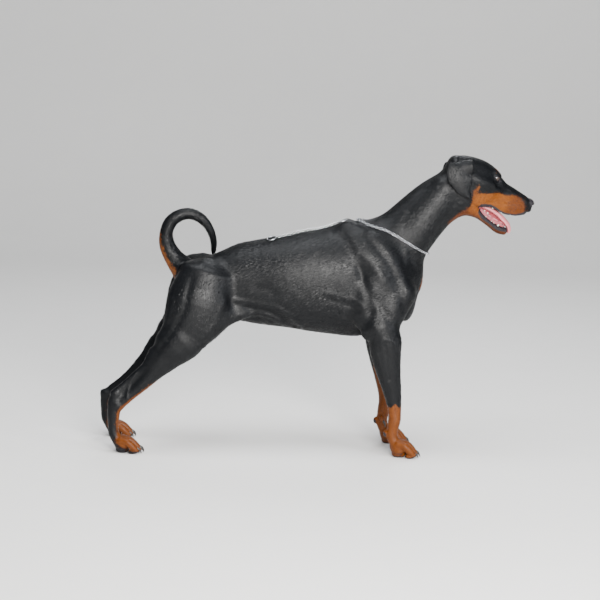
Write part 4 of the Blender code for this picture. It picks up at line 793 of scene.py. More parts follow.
def rust_depth(p, best, parts):
    """How far inside a rust marking points lie, in metres; outside it is negative."""
    names = [part.name for part in parts]
    depth = np.full(len(p), -0.02)
    s = np.sign(p[:, 1])
    front = np.flatnonzero(p[:, 0] > 0.34)
    if len(front):
        q = to_head(p[front])
        face = polygon_depth(q[:, [0, 2]], RUST_FACE)
        brow = 1 - np.sqrt(((q[:, 0] - 0.0140) / 0.0085) ** 2 + ((q[:, 2] - 0.0500) / 0.0080) ** 2
                           + ((np.abs(q[:, 1]) - 0.0200) / 0.0085) ** 2)
        face = np.minimum(face, p[front, 0] - 0.410)
        face *= 1 - 0.65 * step(q[:, 0], 0.085, 0.115) * step(q[:, 2], -0.060, -0.030)
        depth[front] = np.maximum(face, brow * 0.006)
    chest = polygon_depth(np.stack([np.abs(p[:, 1]), p[:, 2]], 1), CHEST_PATCH)
    depth = np.maximum(depth, chest - np.clip(0.300 - p[:, 0], 0, 1))
    for name in names:
        k = np.flatnonzero(best == names.index(name))
        if not len(k):
            continue
        part = parts[names.index(name)]
        if name.startswith("fore"):
            inner = (FRONT_FOOT_Y - np.abs(p[k, 1])) / 0.020
            slant = 0.05 * (p[k, 0] - 0.262) + 0.004 * np.sin(260 * p[k, 0]) + 0.004 * np.sin(170 * p[k, 1] + 1)
            depth[k] = np.maximum(depth[k], 0.150 + slant + 0.180 * step(inner, 0.0, 0.9) - p[k, 2])
        if name.startswith("hind"):
            _, _, a, b = part.trace(p[k])
            size = np.interp(p[k, 2], [0.03, 0.10, 0.16, 0.23, 0.30], [0.020, 0.018, 0.016, 0.026, 0.045])
            inner = -a * s[k] / size * np.sign(part.line.side[0, 1])
            need = np.interp(p[k, 2], [0.03, 0.06, 0.14, 0.19, 0.215, 0.24], [-0.45, 0.30, 0.45, 0.80, 1.20, 9.0])
            # Less rust on the far hind leg than on the near one: painted shade, black where the far leg's rust lies in
            # shade.
            need += (s[k] > 0) * 0.45 * step(p[k, 2], 0.10, 0.15)
            depth[k] = np.maximum(depth[k], 0.010 * (b / size + 0.12 * inner - need))
        if name == "tail":
            far, _, b, _, _, size = part.line.locate(p[k])
            need = np.interp(far / (len(part.line.line) - 1), [0.0, 0.25, 0.32, 0.40], [0.40, 0.62, 0.85, 1.6])
            depth[k] = np.maximum(depth[k], 0.012 * (b / size[:, 1] - need))
    vent = 0.020 - np.abs(p[:, 1]) - np.clip(p[:, 0] + 0.335, 0, 1) - np.clip(0.425 - p[:, 2], 0, 1)
    vent -= np.clip(p[:, 2] - 0.515, 0, 1)
    return np.maximum(depth, vent)


def bare_masks(skin, p, n):
    """Shares of black leather, of wet pink lining, and of redder, deeper rust: real rust at the muzzle's front, darker
    towards the bottom of the legs, painted shade at the throat under the jaw, and the ear's painted shadow on the
    cheek.
    """
    black, pink, deep = np.zeros(len(p)), np.zeros(len(p)), np.zeros(len(p))
    front = np.flatnonzero(p[:, 0] > 0.40)
    q = to_head(p[front])
    flat = q[:, [0, 2]]
    hole = union(skin.mouth, q)
    tip = np.minimum((q - (0.1415, 0, 0.0150)) @ (0.76, 0, 0.65), q[:, 2] - 0.0010)
    leather = step(tip, -0.0008, 0.0012)
    upper = step(polygon_depth(flat, UPPER_LIP), -0.0012, 0.0008)
    lower = step(polygon_depth(flat, LOWER_LIP), -0.0012, 0.0008)
    rim = np.zeros(len(q))
    for slit in skin.slits:
        rim = np.maximum(rim, 1 - step(np.abs(slit.distance(q)), 0.0015, 0.0035))
    lining = (1 - step(hole, 0.0002, 0.0012)) * step(q[:, 0], 0.0, 0.01)
    dots = np.zeros(len(q))
    for spot in WHISKERS:
        dots = np.maximum(dots, 0.90 * np.exp(-((flat - spot) ** 2).sum(1) / 0.0016 ** 2))
    black[front] = np.maximum.reduce([leather, upper, lower, rim, dots])
    pink[front] = lining
    # Redder, darker rust at the muzzle's front; below the jaw, painted shade at the throat.
    deep[front] = step(q[:, 0], 0.07, 0.10) * 0.7 + step(-q[:, 2], 0.060, 0.10) * 0.9
    # The ear's painted shadow: darker rust on the cheek below and behind the ear.
    deep[front] += 0.6 * (1 - step(q[:, 0], -0.022, -0.006)) * step(-q[:, 2], 0.005, 0.020)
    deep[front] = np.minimum(deep[front], 1.0)
    soles = step(-n[:, 2], 0.15, 0.6) * (1 - step(p[:, 2], 0.010, 0.018))
    black = np.maximum(black, soles)
    for s in (-1, 1):
        pad = np.array((0.2500 - FAR_FRONT_BACK * (s > 0), FRONT_FOOT_Y * s, 0.064))
        black = np.maximum(black, 1 - step(np.linalg.norm(p - pad + (0.003, 0, 0), axis=1), 0.0070, 0.0090))
    for bud in skin.buds:
        black = np.maximum(black, 0.8 * (1 - step(np.linalg.norm(p - bud.centre, axis=1), 0.003, 0.005)))
    # Darker rust towards the bottom of the legs.
    deep = np.maximum(deep, 0.55 * (1 - step(p[:, 2], 0.15, 0.30)))
    return black, pink, deep


# Meshes from arrays
def build(name, points, quads=(), tris=(), others=(), values=None, uv=None):
    """A smooth mesh object; values are named numbers for each point."""
    mesh = bpy.data.meshes.new(name)
    mesh.vertices.add(len(points))
    mesh.vertices.foreach_set("co", np.asarray(points, np.float32).ravel())
    sizes = np.concatenate([np.full(len(quads), 4), np.full(len(tris), 3), [len(f) for f in others]]).astype(int)
    corners = np.concatenate([np.ravel(quads), np.ravel(tris), *[np.array(f) for f in others]]).astype(np.int32)
    mesh.loops.add(len(corners))
    mesh.loops.foreach_set("vertex_index", corners)
    mesh.polygons.add(len(sizes))
    mesh.polygons.foreach_set("loop_start", (np.cumsum(sizes) - sizes).astype(np.int32))
    for key, numbers in (values or {}).items():
        numbers = np.asarray(numbers, np.float32)
        kind = "FLOAT_VECTOR" if numbers.ndim == 2 else "FLOAT"
        layer = mesh.attributes.new(key, kind, "POINT")
        layer.data.foreach_set("vector" if numbers.ndim == 2 else "value", numbers.ravel())
    mesh.update(calc_edges=True)
    if uv is not None:
        layer = mesh.uv_layers.new(name="OFBake")
        layer.uv.foreach_set("vector", np.asarray(uv, np.float32).ravel())
    mesh.shade_smooth()
    obj = bpy.data.objects.new(name, mesh)
    bpy.context.scene.collection.objects.link(obj)
    return obj


def split_faces(points, quads, others, chosen):
    """Quads that are chosen become four; their neighbours take the new edge points in."""
    count = len(points)
    edges = np.stack([quads, np.roll(quads, -1, 1)], 2)
    keys = edges.min(2).astype(np.int64) * count + edges.max(2)
    wanted = np.unique(keys[chosen])
    middle = points[wanted // count] * 0.5 + points[wanted % count] * 0.5
    centres = points[quads[chosen]].mean(1)
    first = count + np.searchsorted(wanted, keys[chosen])
    centre = count + len(wanted) + np.arange(len(centres))
    corner = quads[chosen]
    small = [np.stack([corner[:, i], first[:, i], centre, first[:, i - 1]], 1) for i in range(4)]
    where = np.searchsorted(wanted, keys)
    split = wanted[np.minimum(where, len(wanted) - 1)] == keys
    touched = split.any(1) & ~chosen
    grown = []
    for face, new, cut in zip(quads[touched], where[touched], split[touched]):
        ring = []
        for i in range(4):
            ring.append(int(face[i]))
            if cut[i]:
                ring.append(int(count + new[i]))
        grown.append(ring)
    fixed = []
    for face in others:
        ring = []
        for a, b in zip(face, face[1:] + face[:1]):
            ring.append(a)
            key = min(a, b) * count + max(a, b)
            k = int(np.searchsorted(wanted, key))
            if k < len(wanted) and wanted[k] == key:
                ring.append(count + k)
        fixed.append(ring)
    kept = quads[~chosen & ~touched]
    return np.vstack([points, middle, centres]), np.vstack([kept, *small]), fixed + grown, count


def gradient(field, p, step_size=0.0006):
    slope = np.stack([field(p + step_size * e) - field(p - step_size * e) for e in np.eye(3)], 1)
    return slope / (2 * step_size)


def on_surface(field, p, rounds=1):
    """Points moved on to the skin by its slope."""
    for _ in range(rounds):
        d, step_size = field(p), 0.0006
        slope = np.stack([field(p + step_size * e) - d for e in np.eye(3)], 1) / step_size
        size = np.maximum((slope ** 2).sum(1), 0.05)
        p = p - np.clip(d / size, -0.004, 0.004)[:, None] * slope
    return p


def skin_mesh(skin):
    points, quads = net(skin, (-0.62, -0.15, -0.02), (0.70, 0.17, 0.90), CELL)
    points = on_surface(skin, points)
    others = []

    def heart(quads):
        return points[quads].mean(1)

    c = heart(quads)
    q = to_head(c)
    in_head = (c[:, 0] > 0.38) & (q[:, 0] > -0.105)
    chosen = in_head | (c[:, 2] < 0.16)
    points, quads, others, old = split_faces(points, quads, others, chosen)
    points[old:] = on_surface(skin, points[old:])
    c = heart(quads)
    q = to_head(c)
    near_eye = np.minimum.reduce([np.linalg.norm(q - (0.0235, 0.035 * s, 0.0345), axis=1) for s in (-1, 1)])
    in_head = (c[:, 0] > 0.41) & (q[:, 0] > 0.0)
    lips = in_head & (np.abs(union(skin.mouth, q)) < 0.012)
    nose = q[:, 0] > 0.132
    toes = c[:, 2] < 0.040
    chosen = (near_eye < 0.020) | lips | (nose & in_head) | toes
    points, quads, others, old = split_faces(points, quads, others, chosen)
    points[old:] = on_surface(skin, points[old:])
    points[:, 2] = np.maximum(points[:, 2], 0.0)
    return points, quads, others


# Directions of the hair that the bump of the skin knows: six in the side view and one across
LIES = np.array([[math.cos(w), 0, math.sin(w)] for w in np.radians(np.arange(0, 180, 30))] + [[0, 1, 0]])


def lie_shares(flow):
    share = np.abs(flow @ LIES.T) ** 14 + 1e-4
    return share / share.sum(1, keepdims=True)


# Ears: thin folded flaps joined to the skin object, their roots inside the head
EAR_ROWS = [(-0.0880, 0.0260, 0.0250, 0.0180, 0.0075, 0.0075),
            (-0.0905, 0.0395, 0.0320, 0.0270, 0.0062, 0.0062),
            (-0.0925, 0.0525, 0.0235, 0.0335, 0.0046, 0.0046),
            (-0.0900, 0.0575, 0.0015, 0.0375, 0.0031, 0.0031),
            (-0.0740, 0.0605, -0.0160, 0.0330, 0.0029, 0.0029),
            (-0.0565, 0.0605, -0.0350, 0.0215, 0.0027, 0.0027),
            (-0.0375, 0.0580, -0.0455, 0.0100, 0.0025, 0.0025),
            (-0.0275, 0.0560, -0.0500, 0.0045, 0.0022, 0.0022)]
EAR_SIDE = np.array([0.764, 0.0, 0.645])


def ear_flap(s):
    """Points, quads, triangles, hair directions and unwrap of one ear."""
    rows = [(r[0] + ahead * (s > 0), r[1] * s, *r[2:]) for r, ahead in zip(EAR_ROWS, FAR_EAR_AHEAD)]
    rows = spline(rows, 10)
    sides = 56
    along = unit(np.gradient(rows[:, :3], axis=0))
    up = unit(np.cross(along, EAR_SIDE))
    wide = np.cross(up, along)
    w = 2 * math.pi * np.arange(sides) / sides
    t = np.linspace(0, 1, len(rows))[:, None]
    c, b = np.cos(w)[None], np.sin(w)[None]
    free = step(t, 0.15, 0.5)
    bend = 0.0005 * np.cos(3.4 * c + 0.6 + 1.3 * t) * free - 0.0042 * c ** 2 * free
    bend -= 0.0003 * np.exp(-((c + 0.62) / 0.20) ** 2) * free
    thick = rows[:, 4:5] - 0.8 * COAT_DEPTH + 0.0006 * np.abs(c) ** 6
    half = rows[:, 3:4] - COAT_DEPTH
    high = thick * b - s * bend
    q = rows[:, None, :3] + (half * c)[..., None] * wide[:, None] + high[..., None] * up[:, None]
    points = from_head(q.reshape(-1, 3))
    flow = np.repeat(along @ HEAD_TURN.T, sides, 0)
    ring = np.arange(sides)
    quads = []
    for j in range(len(rows) - 1):
        a, d = j * sides, (j + 1) * sides
        quads.append(np.stack([a + ring, a + (ring + 1) % sides, d + (ring + 1) % sides, d + ring], 1))
    ends = from_head(np.array([rows[0, :3], rows[-1, :3] + along[-1] * 0.0015]))
    n = len(points)
    root = np.stack([(ring + 1) % sides, ring, np.full(sides, n)], 1)
    last = (len(rows) - 1) * sides
    tip = np.stack([last + ring, last + (ring + 1) % sides, np.full(sides, n + 1)], 1)
    uv = np.stack([np.repeat(t[:, 0], sides), np.tile(np.arange(sides) / sides, len(rows))], 1)
    uv = np.vstack([uv, [[0, 0.5], [1, 0.5]]])
    return np.vstack([points, ends]), np.vstack(quads), np.vstack([root, tip]), \
        np.vstack([flow, flow[:1], flow[-1:]]), uv


EAR_BOXES = [(0.845, 0.915, 0.01, 0.23), (0.845, 0.915, 0.26, 0.48)]
MOUTH_BOX = (0.935, 0.990, 0.01, 0.48)


class Hide:
    """Everything known at the points of the skin."""


def vertex_normals(obj):
    n = np.zeros(len(obj.data.vertices) * 3, np.float32)
    obj.data.vertex_normals.foreach_get("vector", n)
    return n.reshape(-1, 3).astype(float)


def make_skin(skin, parts):
    points, quads, others = skin_mesh(skin)
    count = len(points)
    tris = np.zeros((0, 3), int)
    ears = []
    for s in (-1, 1):
        p, q, t, flow, uv = ear_flap(s)
        ears.append((len(points), len(p), flow, uv))
        points, quads, tris = np.vstack([points, p]), np.vstack([quads, q + len(points)]), \
            np.vstack([tris, t + len(points)])
    obj = build("skin", points, quads, tris, others)
    hide = Hide()
    hide.obj, hide.points, hide.quads, hide.tris = obj, points, quads, tris
    hide.normals = n = vertex_normals(obj)
    total = len(points)
    hide.part = np.zeros(total, int)
    places = np.zeros((len(parts) + 3, total, 2))
    hide.flow = np.zeros((total, 3))
    rust, black, pink, deep = (np.zeros(total) for _ in range(4))
    body = np.arange(count)
    hide.part[body], places[:len(parts), body], hide.flow[body] = survey(parts, points[:count], n[:count])
    rust[:] = -0.02
    rust[body] = rust_depth(points[:count], hide.part[body], parts)
    black[body], pink[body], deep[body] = bare_masks(skin, points[:count], n[:count])
    lining = np.flatnonzero(pink > 0)
    palate = Region("mouth", [], with_arc(skin.mouth[0]), 1, MOUTH_BOX, True)
    places[-1, lining] = palate.trace(points[lining])[0]
    hide.part[pink > 0.5] = len(parts) + 2
    for k, (first, size, flow, uv) in enumerate(ears):
        mine = np.arange(first, first + size)
        low_u, high_u, low_v, high_v = EAR_BOXES[k]
        hide.part[mine] = len(parts) + k
        places[len(parts) + k, mine] = uv * (high_u - low_u, high_v - low_v) + (low_u, low_v)
        hide.flow[mine] = flow
    hide.rust, hide.black, hide.pink, hide.deep, hide.places = rust, black, pink, deep, places
    share = lie_shares(hide.flow)
    paint(obj, {"lie_a": share[:, :3], "lie_b": share[:, 3:6], "lie_c": share[:, 6], "deep": deep,
                "rust": np.clip(rust / 0.006, -1, 1), "black": black, "pink": pink})
    boxes = [part.box for part in parts] + EAR_BOXES + [MOUTH_BOX]
    heights = np.array([box[3] - box[2] for box in boxes])
    sizes = np.concatenate([np.full(len(quads), 4), np.full(len(tris), 3), [len(f) for f in others]]).astype(int)
    corners = np.concatenate([quads.ravel(), tris.ravel(), *[np.array(f) for f in others]]).astype(int)
    first = np.repeat(corners[np.cumsum(sizes) - sizes], sizes)
    chart = hide.part[first]
    uv = places[chart, corners]
    start = places[chart, first]
    uv[:, 1] -= heights[chart] * np.round((uv[:, 1] - start[:, 1]) / heights[chart])
    layer = obj.data.uv_layers.new(name="OFBake")
    layer.uv.foreach_set("vector", uv.astype(np.float32).ravel())
    return hide


def paint(obj, values):
    """Named numbers for each point of a mesh."""
    for key, numbers in values.items():
        numbers = np.asarray(numbers, np.float32)
        kind = "FLOAT_VECTOR" if numbers.ndim == 2 else "FLOAT"
        layer = obj.data.attributes.new(key, kind, "POINT")
        layer.data.foreach_set("vector" if numbers.ndim == 2 else "value", numbers.ravel())


# The coat: thin roofed locks that lie along the body
GROUPS = [("coat_head", ("head", "jaw", "ear_right", "ear_left"), 0.225),
          ("coat_neck", ("neck",), 0.125),
          ("coat_trunk_right", ("trunk",), 0.185), ("coat_trunk_left", ("trunk",), 0.185),
          ("coat_fore_legs", ("fore_right", "fore_left"), 0.110),
          ("coat_hind_legs", ("hind_right", "hind_left"), 0.125), ("coat_tail", ("tail",), 0.045)]


def hair_length(p, part, name, n):
    """Length of a lock in metres and how far its tip lifts."""
    length = np.full(len(p), 0.0085)
    lift = np.zeros(len(p))
    if name in ("head", "jaw", "ear_right", "ear_left"):
        q = to_head(p)
        length = 0.0052 - 0.0022 * step(q[:, 0], -0.06, 0.08)
        if name.startswith("ear"):
            length = np.full(len(p), 0.0050)
        lift += 0.0003 * step(-q[:, 2], 0.08, 0.10)
    if name == "neck":
        length = np.full(len(p), 0.0078)
        lift += 0.0006 * step(-n[:, 2], 0.2, 0.9)
        lift += 0.0005 * step(n[:, 2], 0.6, 1.0)
    if name == "trunk":
        lift += 0.0007 * step(-n[:, 2], 0.4, 1.0)
        lift += 0.0004 * step(n[:, 2], 0.8, 1.0)
        lift += 0.0010 * step(-p[:, 0], 0.28, 0.32) * (p[:, 2] < 0.52)
    if name.startswith(("fore", "hind")):
        length = 0.0036 + 0.0044 * step(p[:, 2], 0.02, 0.32)
        lift += 0.0007 * step(-n[:, 0], 0.5, 1.0) * step(p[:, 2], 0.08, 0.30)
    if name == "tail":
        far, _, b, _, _, size = part.line.locate(p)
        under = step(-b / size[:, 2], 0.0, 0.9)
        length = 0.0080 + 0.0045 * under
        lift += 0.0002 + 0.0014 * under
    return length, lift


def waves(p, rng, length):
    """A smooth random field of unit strength whose waves are about a length long."""
    turn = rng.normal(0, 2 * math.pi / length, (20, 3)) * 0.8
    start = rng.uniform(0, 2 * math.pi, 20)
    return np.cos(p @ turn.T + start).sum(1) / math.sqrt(10)


def make_coat(skin, parts, hide, mat):
    rng = np.random.default_rng(SEED)
    names = [part.name for part in parts] + ["ear_right", "ear_left", "mouth"]
    sheet = np.vstack([hide.quads[:, [0, 1, 2]], hide.quads[:, [0, 2, 3]], hide.tris])
    corner = hide.points[sheet]
    area = 0.5 * np.linalg.norm(np.cross(corner[:, 1] - corner[:, 0], corner[:, 2] - corner[:, 0]), axis=1)
    chart = hide.part[sheet]
    bare = np.maximum(hide.black, hide.pink)[sheet].max(1)
    usable = (chart == chart[:, :1]).all(1) & (bare < 0.5)
    usable &= corner[:, :, 2].max(1) > 0.0012
    middle = corner.mean(1)
    for s in (-1, 1):
        centre = from_head((EYE_CENTRE[0], EYE_CENTRE[1] * s, EYE_CENTRE[2]))
        usable &= np.linalg.norm(middle - centre, axis=1) > EYE_RADIUS + 0.0012
    chart = chart[:, 0]
    length = np.zeros(len(sheet))
    lift = np.zeros(len(sheet))
    normal = unit(hide.normals[sheet].mean(1))
    for k, name in enumerate(names[:-1]):
        mine = np.flatnonzero(chart == k)
        part = parts[k] if k < len(parts) else None
        length[mine], lift[mine] = hair_length(middle[mine], part, name, normal[mine])
    made = []
    for group, members, portion in GROUPS:
        numbers = [names.index(m) for m in members]
        pick = usable & np.isin(chart, numbers)
        if group.endswith("right"):
            pick &= middle[:, 1] < 0
        if group.endswith("left"):
            pick &= middle[:, 1] >= 0
        pick = np.flatnonzero(pick)
        weight = area[pick] / length[pick] ** 1.5
        amount = int(TUFTS * portion)
        chosen = pick[rng.choice(len(pick), amount, p=weight / weight.sum())]
        made.append(locks(group, skin, parts, hide, sheet[chosen], length[chosen], lift[chosen],
                          chart[chosen], rng, mat))
    return made


def locks(name, skin, parts, hide, corners, length, lift, chart, rng, mat):
    """One coat piece of flat locks rooted on the given triangles of the skin."""
    n = len(corners)
    share = rng.random((n, 2))
    fold = share.sum(1) > 1
    share[fold] = 1 - share[fold]
    share = np.stack([1 - share.sum(1), share[:, 0], share[:, 1]], 1)[..., None]

    def blend(values):
        return (values[corners] * (share if values.ndim == 2 else share[..., 0])).sum(1)

    root, normal, flow = blend(hide.points), unit(blend(hide.normals)), blend(hide.flow)
    flow = unit(flow - (flow * normal).sum(1, keepdims=True) * normal)
    side = np.cross(normal, flow)
    turn = rng.normal(0, 0.10, n)[:, None]
    flow, side = unit(flow + turn * side), unit(side - turn * flow)
    length = length * rng.uniform(0.75, 1.25, n)
    lift = lift * rng.uniform(0.0, 1.6, n)
    half = (0.062 * length + 0.00020) * rng.uniform(0.8, 1.25, n)
    ear = np.isin(chart, (len(parts), len(parts) + 1))
    ruffle, roll, patch = waves(root, rng, 0.011), waves(root, rng, 0.008), waves(root, rng, 0.009)
    middle = root + flow * (0.5 * length)[:, None]
    tip = root + flow * length[:, None] + side * (length * rng.normal(0, 0.06, n))[:, None]
    high_middle = 0.00062 + 0.25 * lift
    high_tip = 0.00075 + lift + rng.uniform(-0.00022, 0.00022, n) + 0.00020 * ruffle * (length / 0.008)
    for spot, high in ((middle, high_middle), (tip, high_tip)):
        field = np.zeros(n)
        field[~ear] = skin(spot[~ear])
        spot += normal * np.clip(high - field, -0.004, 0.004)[:, None]
    drop = 0.00012 + 0.06 * half
    lean = 0.16 * half * (roll + 0.5 * rng.normal(0, 1, n))
    points = np.stack([root - side * half[:, None] * 0.55 - normal * 0.0003,
                       root + normal * 0.00008,
                       root + side * half[:, None] * 0.55 - normal * 0.0003,
                       middle - side * half[:, None] - normal * (drop + lean)[:, None],
                       middle,
                       middle + side * half[:, None] - normal * (drop - lean)[:, None],
                       tip], 1)
    base = 7 * np.arange(n)[:, None]
    quads = np.vstack([base + [[0, 1, 4, 3]], base + [[1, 2, 5, 4]]])
    tris = np.vstack([base + [[3, 4, 6]], base + [[4, 5, 6]]])
    spot = (hide.places[chart[:, None], corners] * share).sum(1)
    across = np.array([-1, 0, 1, -1, 0, 1, 0]) * 0.0015
    along = np.array([0, 0, 0, 1, 1, 1, 2]) * 0.0015
    uv = spot[:, None] + np.stack([along, across], 1)
    rust = blend(hide.rust) + rng.normal(0, 0.0022, n)
    rust[ear] = -0.02
    # The coat material lightens each lock towards its tip ('tip' runs 0 to 1): painted shade at the roots; 'shade' is a
    # random tone for each lock.
    values = {"rust": np.repeat(step(rust, -0.0008, 0.0008), 7), "deep": np.repeat(blend(hide.deep), 7),
              "shade": np.repeat(np.clip(0.5 * rng.random(n) + 0.25 + 0.22 * patch, 0, 1), 7), "tip": np.tile([0, 0, 0, 0.5, 0.5, 0.5, 1], n)}
    order = np.concatenate([quads.ravel(), tris.ravel()])
    obj = build(name, points.reshape(-1, 3), quads, tris, values=values, uv=uv.reshape(-1, 2)[order])
    obj.data.materials.append(mat)
    return obj


# Small parts as bent tubes
def bent(root, bend, tip, steps):
    root, bend, tip = (np.array(v, float) for v in (root, bend, tip))
    t = np.linspace(0, 1, steps)[:, None]
    return (1 - t) ** 2 * root + 2 * t * (1 - t) * bend + t ** 2 * tip, t[:, 0]


def tube_arrays(centres, wide, high, sides, up, power=2.0):
    """Points, quads and end triangles of an oval bar; each end closes on one point."""
    centres = np.array(centres, float)
    along = unit(np.gradient(centres, axis=0))
    side = unit(np.cross(along, up))
    top = np.cross(side, along)
    w = 2 * math.pi * np.arange(sides) / sides
    c, b = np.cos(w), np.sin(w)
    c, b = np.sign(c) * np.abs(c) ** (2 / power), np.sign(b) * np.abs(b) ** (2 / power)
    ring = centres[:, None] + (np.outer(wide, c))[..., None] * side[:, None] \
        + (np.outer(high, b))[..., None] * top[:, None]
    rows, k = len(centres), np.arange(sides)
    quads = np.vstack([np.stack([j * sides + k, j * sides + (k + 1) % sides, (j + 1) * sides + (k + 1) % sides,
                                 (j + 1) * sides + k], 1) for j in range(rows - 1)])
    n, last = rows * sides, (rows - 1) * sides
    tris = np.vstack([np.stack([(k + 1) % sides, k, np.full(sides, n)], 1),
                      np.stack([last + k, last + (k + 1) % sides, np.full(sides, n + 1)], 1)])
    return np.vstack([ring.reshape(-1, 3), centres[:1], centres[-1:]]), quads, tris


def joined(name, pieces, values=None):
    """One object from several sets of points, quads and triangles."""
    points, quads, tris, at = [], [], [], 0
    for p, q, t in pieces:
        points.append(p)
        quads.append(q + at)
        tris.append(t + at)
        at += len(p)
    return build(name, np.vstack(points), np.vstack(quads), np.vstack(tris), values=values)


def make_claws(mat):
    made = []
    fine = 20

    def one(name, root, bend, tip, radius):
        line, t = bent(root, bend, tip, fine)
        size = radius * (1 - 0.90 * t ** 1.7) + 0.00015
        across = np.array([0.0, 1.0, 0.0])
        p, q, tr = tube_arrays(line, size * 1.08, size * 0.86, fine, across)
        obj = build(name + "_horn", p, q, tr, values={"far": np.append(np.repeat(t, fine), [0, 1])})
        obj.data.materials.append(mat)
        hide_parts(name)
        made.append(obj)

    for s, side in ((-1, "right"), (1, "left")):
        front = -FAR_FRONT_BACK if s > 0 else 0.0
        hind = -FAR_HIND_BACK if s > 0 else 0.0
        for paw, x, y, scale in (("front", 0.306 + front, FRONT_FOOT_Y * s, 1.0),
                                 ("hind", -0.471 + hind, HIND_FOOT_Y * s, 0.94)):
            for number, i in enumerate(TOES, 1):
                reach = x - 0.0065 * (abs(i) - 0.5)
                across = y + 0.0150 * i * scale
                one(f"claw_{paw}_{side}_{number}", (reach + 0.024, across, 0.0155), (reach + 0.040, across, 0.0160),
                    (reach + 0.0425, across, 0.0022), 0.0037)
        x, y = 0.270 + front, (FRONT_FOOT_Y - 0.0245) * s
        one(f"dewclaw_{side}", (x - 0.001, y, 0.071), (x + 0.006, y, 0.062), (x + 0.007, y, 0.051), 0.0032)
    return made


def make_eye(name, s, mat):
    """A globe with a raised cornea; its points know their angle from the gaze."""
    rings, sides = ((64, 72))
    gaze = GAZE[(s + 1) // 2]
    across = unit(np.cross(gaze, [0.0, 0.0, 1.0]))
    top = np.cross(across, gaze)
    a = np.pi * (np.arange(1, rings) / rings) ** 1.3
    w = 2 * math.pi * np.arange(sides) / sides
    radius = EYE_RADIUS - 0.0004 + 0.0008 * np.exp(-(a / 0.70) ** 4)
    q = (np.cos(a) * radius)[:, None, None] * gaze + (np.sin(a) * radius)[:, None, None] * (
        np.cos(w)[None, :, None] * across + np.sin(w)[None, :, None] * top)
    centre = np.array([EYE_CENTRE[0], EYE_CENTRE[1] * s, EYE_CENTRE[2]])
    ends = np.array([gaze * (EYE_RADIUS + 0.0004), -gaze * (EYE_RADIUS - 0.0004)])
    points = from_head(np.vstack([q.reshape(-1, 3), ends]) + centre)
    k, n = np.arange(sides), (rings - 1) * sides
    quads = np.vstack([np.stack([j * sides + k, (j + 1) * sides + k, (j + 1) * sides + (k + 1) % sides,
                                 j * sides + (k + 1) % sides], 1) for j in range(rings - 2)])
    last = (rings - 2) * sides
    tris = np.vstack([np.stack([k, (k + 1) % sides, np.full(sides, n)], 1),
                      np.stack([last + (k + 1) % sides, last + k, np.full(sides, n + 1)], 1)])
    angle = np.concatenate([np.repeat(a, sides), [0, np.pi]])
    wheel = np.vstack([np.stack([np.cos(w), np.sin(w), np.zeros(sides)], 1)] * (rings - 1) + [np.zeros((2, 3))])
    obj = build(name + "_globe", points, quads, tris, values={"angle": angle, "wheel": wheel})
    obj.data.materials.append(mat)
    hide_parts(name)
    return obj


# Teeth: x, y, root z and tip z in the head's frame, radius, lean of the tip, and how sharp
UPPER_TEETH = [(0.1120, 0.0135, -0.020, -0.0400, 0.0038, 0.0045, 1.0),
               (0.0310, 0.0210, -0.026, -0.0490, 0.0056, 0, 0.45),
               (0.0400, 0.0212, -0.026, -0.0480, 0.0048, 0, 0.6), (0.0500, 0.0204, -0.025, -0.0480, 0.0050, 0, 0.7),
               (0.0610, 0.0198, -0.024, -0.0425, 0.0040, 0, 0.7), (0.0730, 0.0186, -0.023, -0.0400, 0.0034, 0, 0.7),
               (0.1290, 0.0030, -0.020, -0.0320, 0.0026, 0.002, 0.5),
               (0.1270, 0.0082, -0.020, -0.0330, 0.0028, 0.002, 0.6)]
LOWER_TEETH = [(0.0880, 0.0138, -0.0840, -0.0678, 0.0028, 0.0022, 1.0),
               (0.0330, 0.0185, -0.0760, -0.0600, 0.0052, 0, 0.4), (0.0440, 0.0180, -0.0780, -0.0615, 0.0050, 0, 0.6),
               (0.0550, 0.0170, -0.0800, -0.0650, 0.0040, 0, 0.7), (0.0650, 0.0160, -0.0820, -0.0680, 0.0033, 0, 0.7),
               (0.0740, 0.0152, -0.0840, -0.0695, 0.0028, 0, 0.7),
               (0.1050, 0.0026, -0.0860, -0.0690, 0.0021, 0.0015, 0.4),
               (0.1030, 0.0070, -0.0860, -0.0688, 0.0023, 0.0015, 0.5)]


def make_teeth(mat):
    pieces = []
    steps, sides = ((14, 16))
    for x, y, root, tip, radius, lean, sharp in UPPER_TEETH + LOWER_TEETH:
        for s in (-1, 1):
            line, t = bent((x, y * s, root), (x + lean * 1.2, y * s * 1.04, 0.45 * root + 0.55 * tip),
                           (x + 0.2 * lean, y * s * 1.02, tip), steps)
            size = radius * np.sqrt(np.clip(1 - t ** (1.2 + 1.4 * (1 - sharp)), 0.004, 1))
            wide = size * (0.62 if sharp < 0.8 else 0.8)
            p, q, tr = tube_arrays(line, wide, size, sides, np.array([1.0, 0.0, 0.0]))
            pieces.append((from_head(p), q, tr))
    obj = joined("teeth", pieces)
    obj.data.materials.append(mat)
    return obj


GUM_ROWS = [(0.020, 0.0190, -0.0660, 0.0034, 0.0060), (0.040, 0.0185, -0.0705, 0.0036, 0.0074),
            (0.065, 0.0160, -0.0735, 0.0034, 0.0074), (0.088, 0.0132, -0.0750, 0.0036, 0.0074),
            (0.102, 0.0082, -0.0755, 0.0036, 0.0064), (0.1075, 0.0000, -0.0758, 0.0034, 0.0056)]


FLOOR_ROWS = [(0.000, 0, -0.0600, 0.0150, 0.0120), (0.012, 0, -0.0600, 0.0180, 0.0135),
              (0.022, 0, -0.0625, 0.0165, 0.0115), (0.040, 0, -0.0665, 0.0140, 0.0100),
              (0.062, 0, -0.0690, 0.0128, 0.0100), (0.084, 0, -0.0720, 0.0110, 0.0092),
              (0.099, 0, -0.0738, 0.0085, 0.0078), (0.106, 0, -0.0745, 0.0040, 0.0040)]


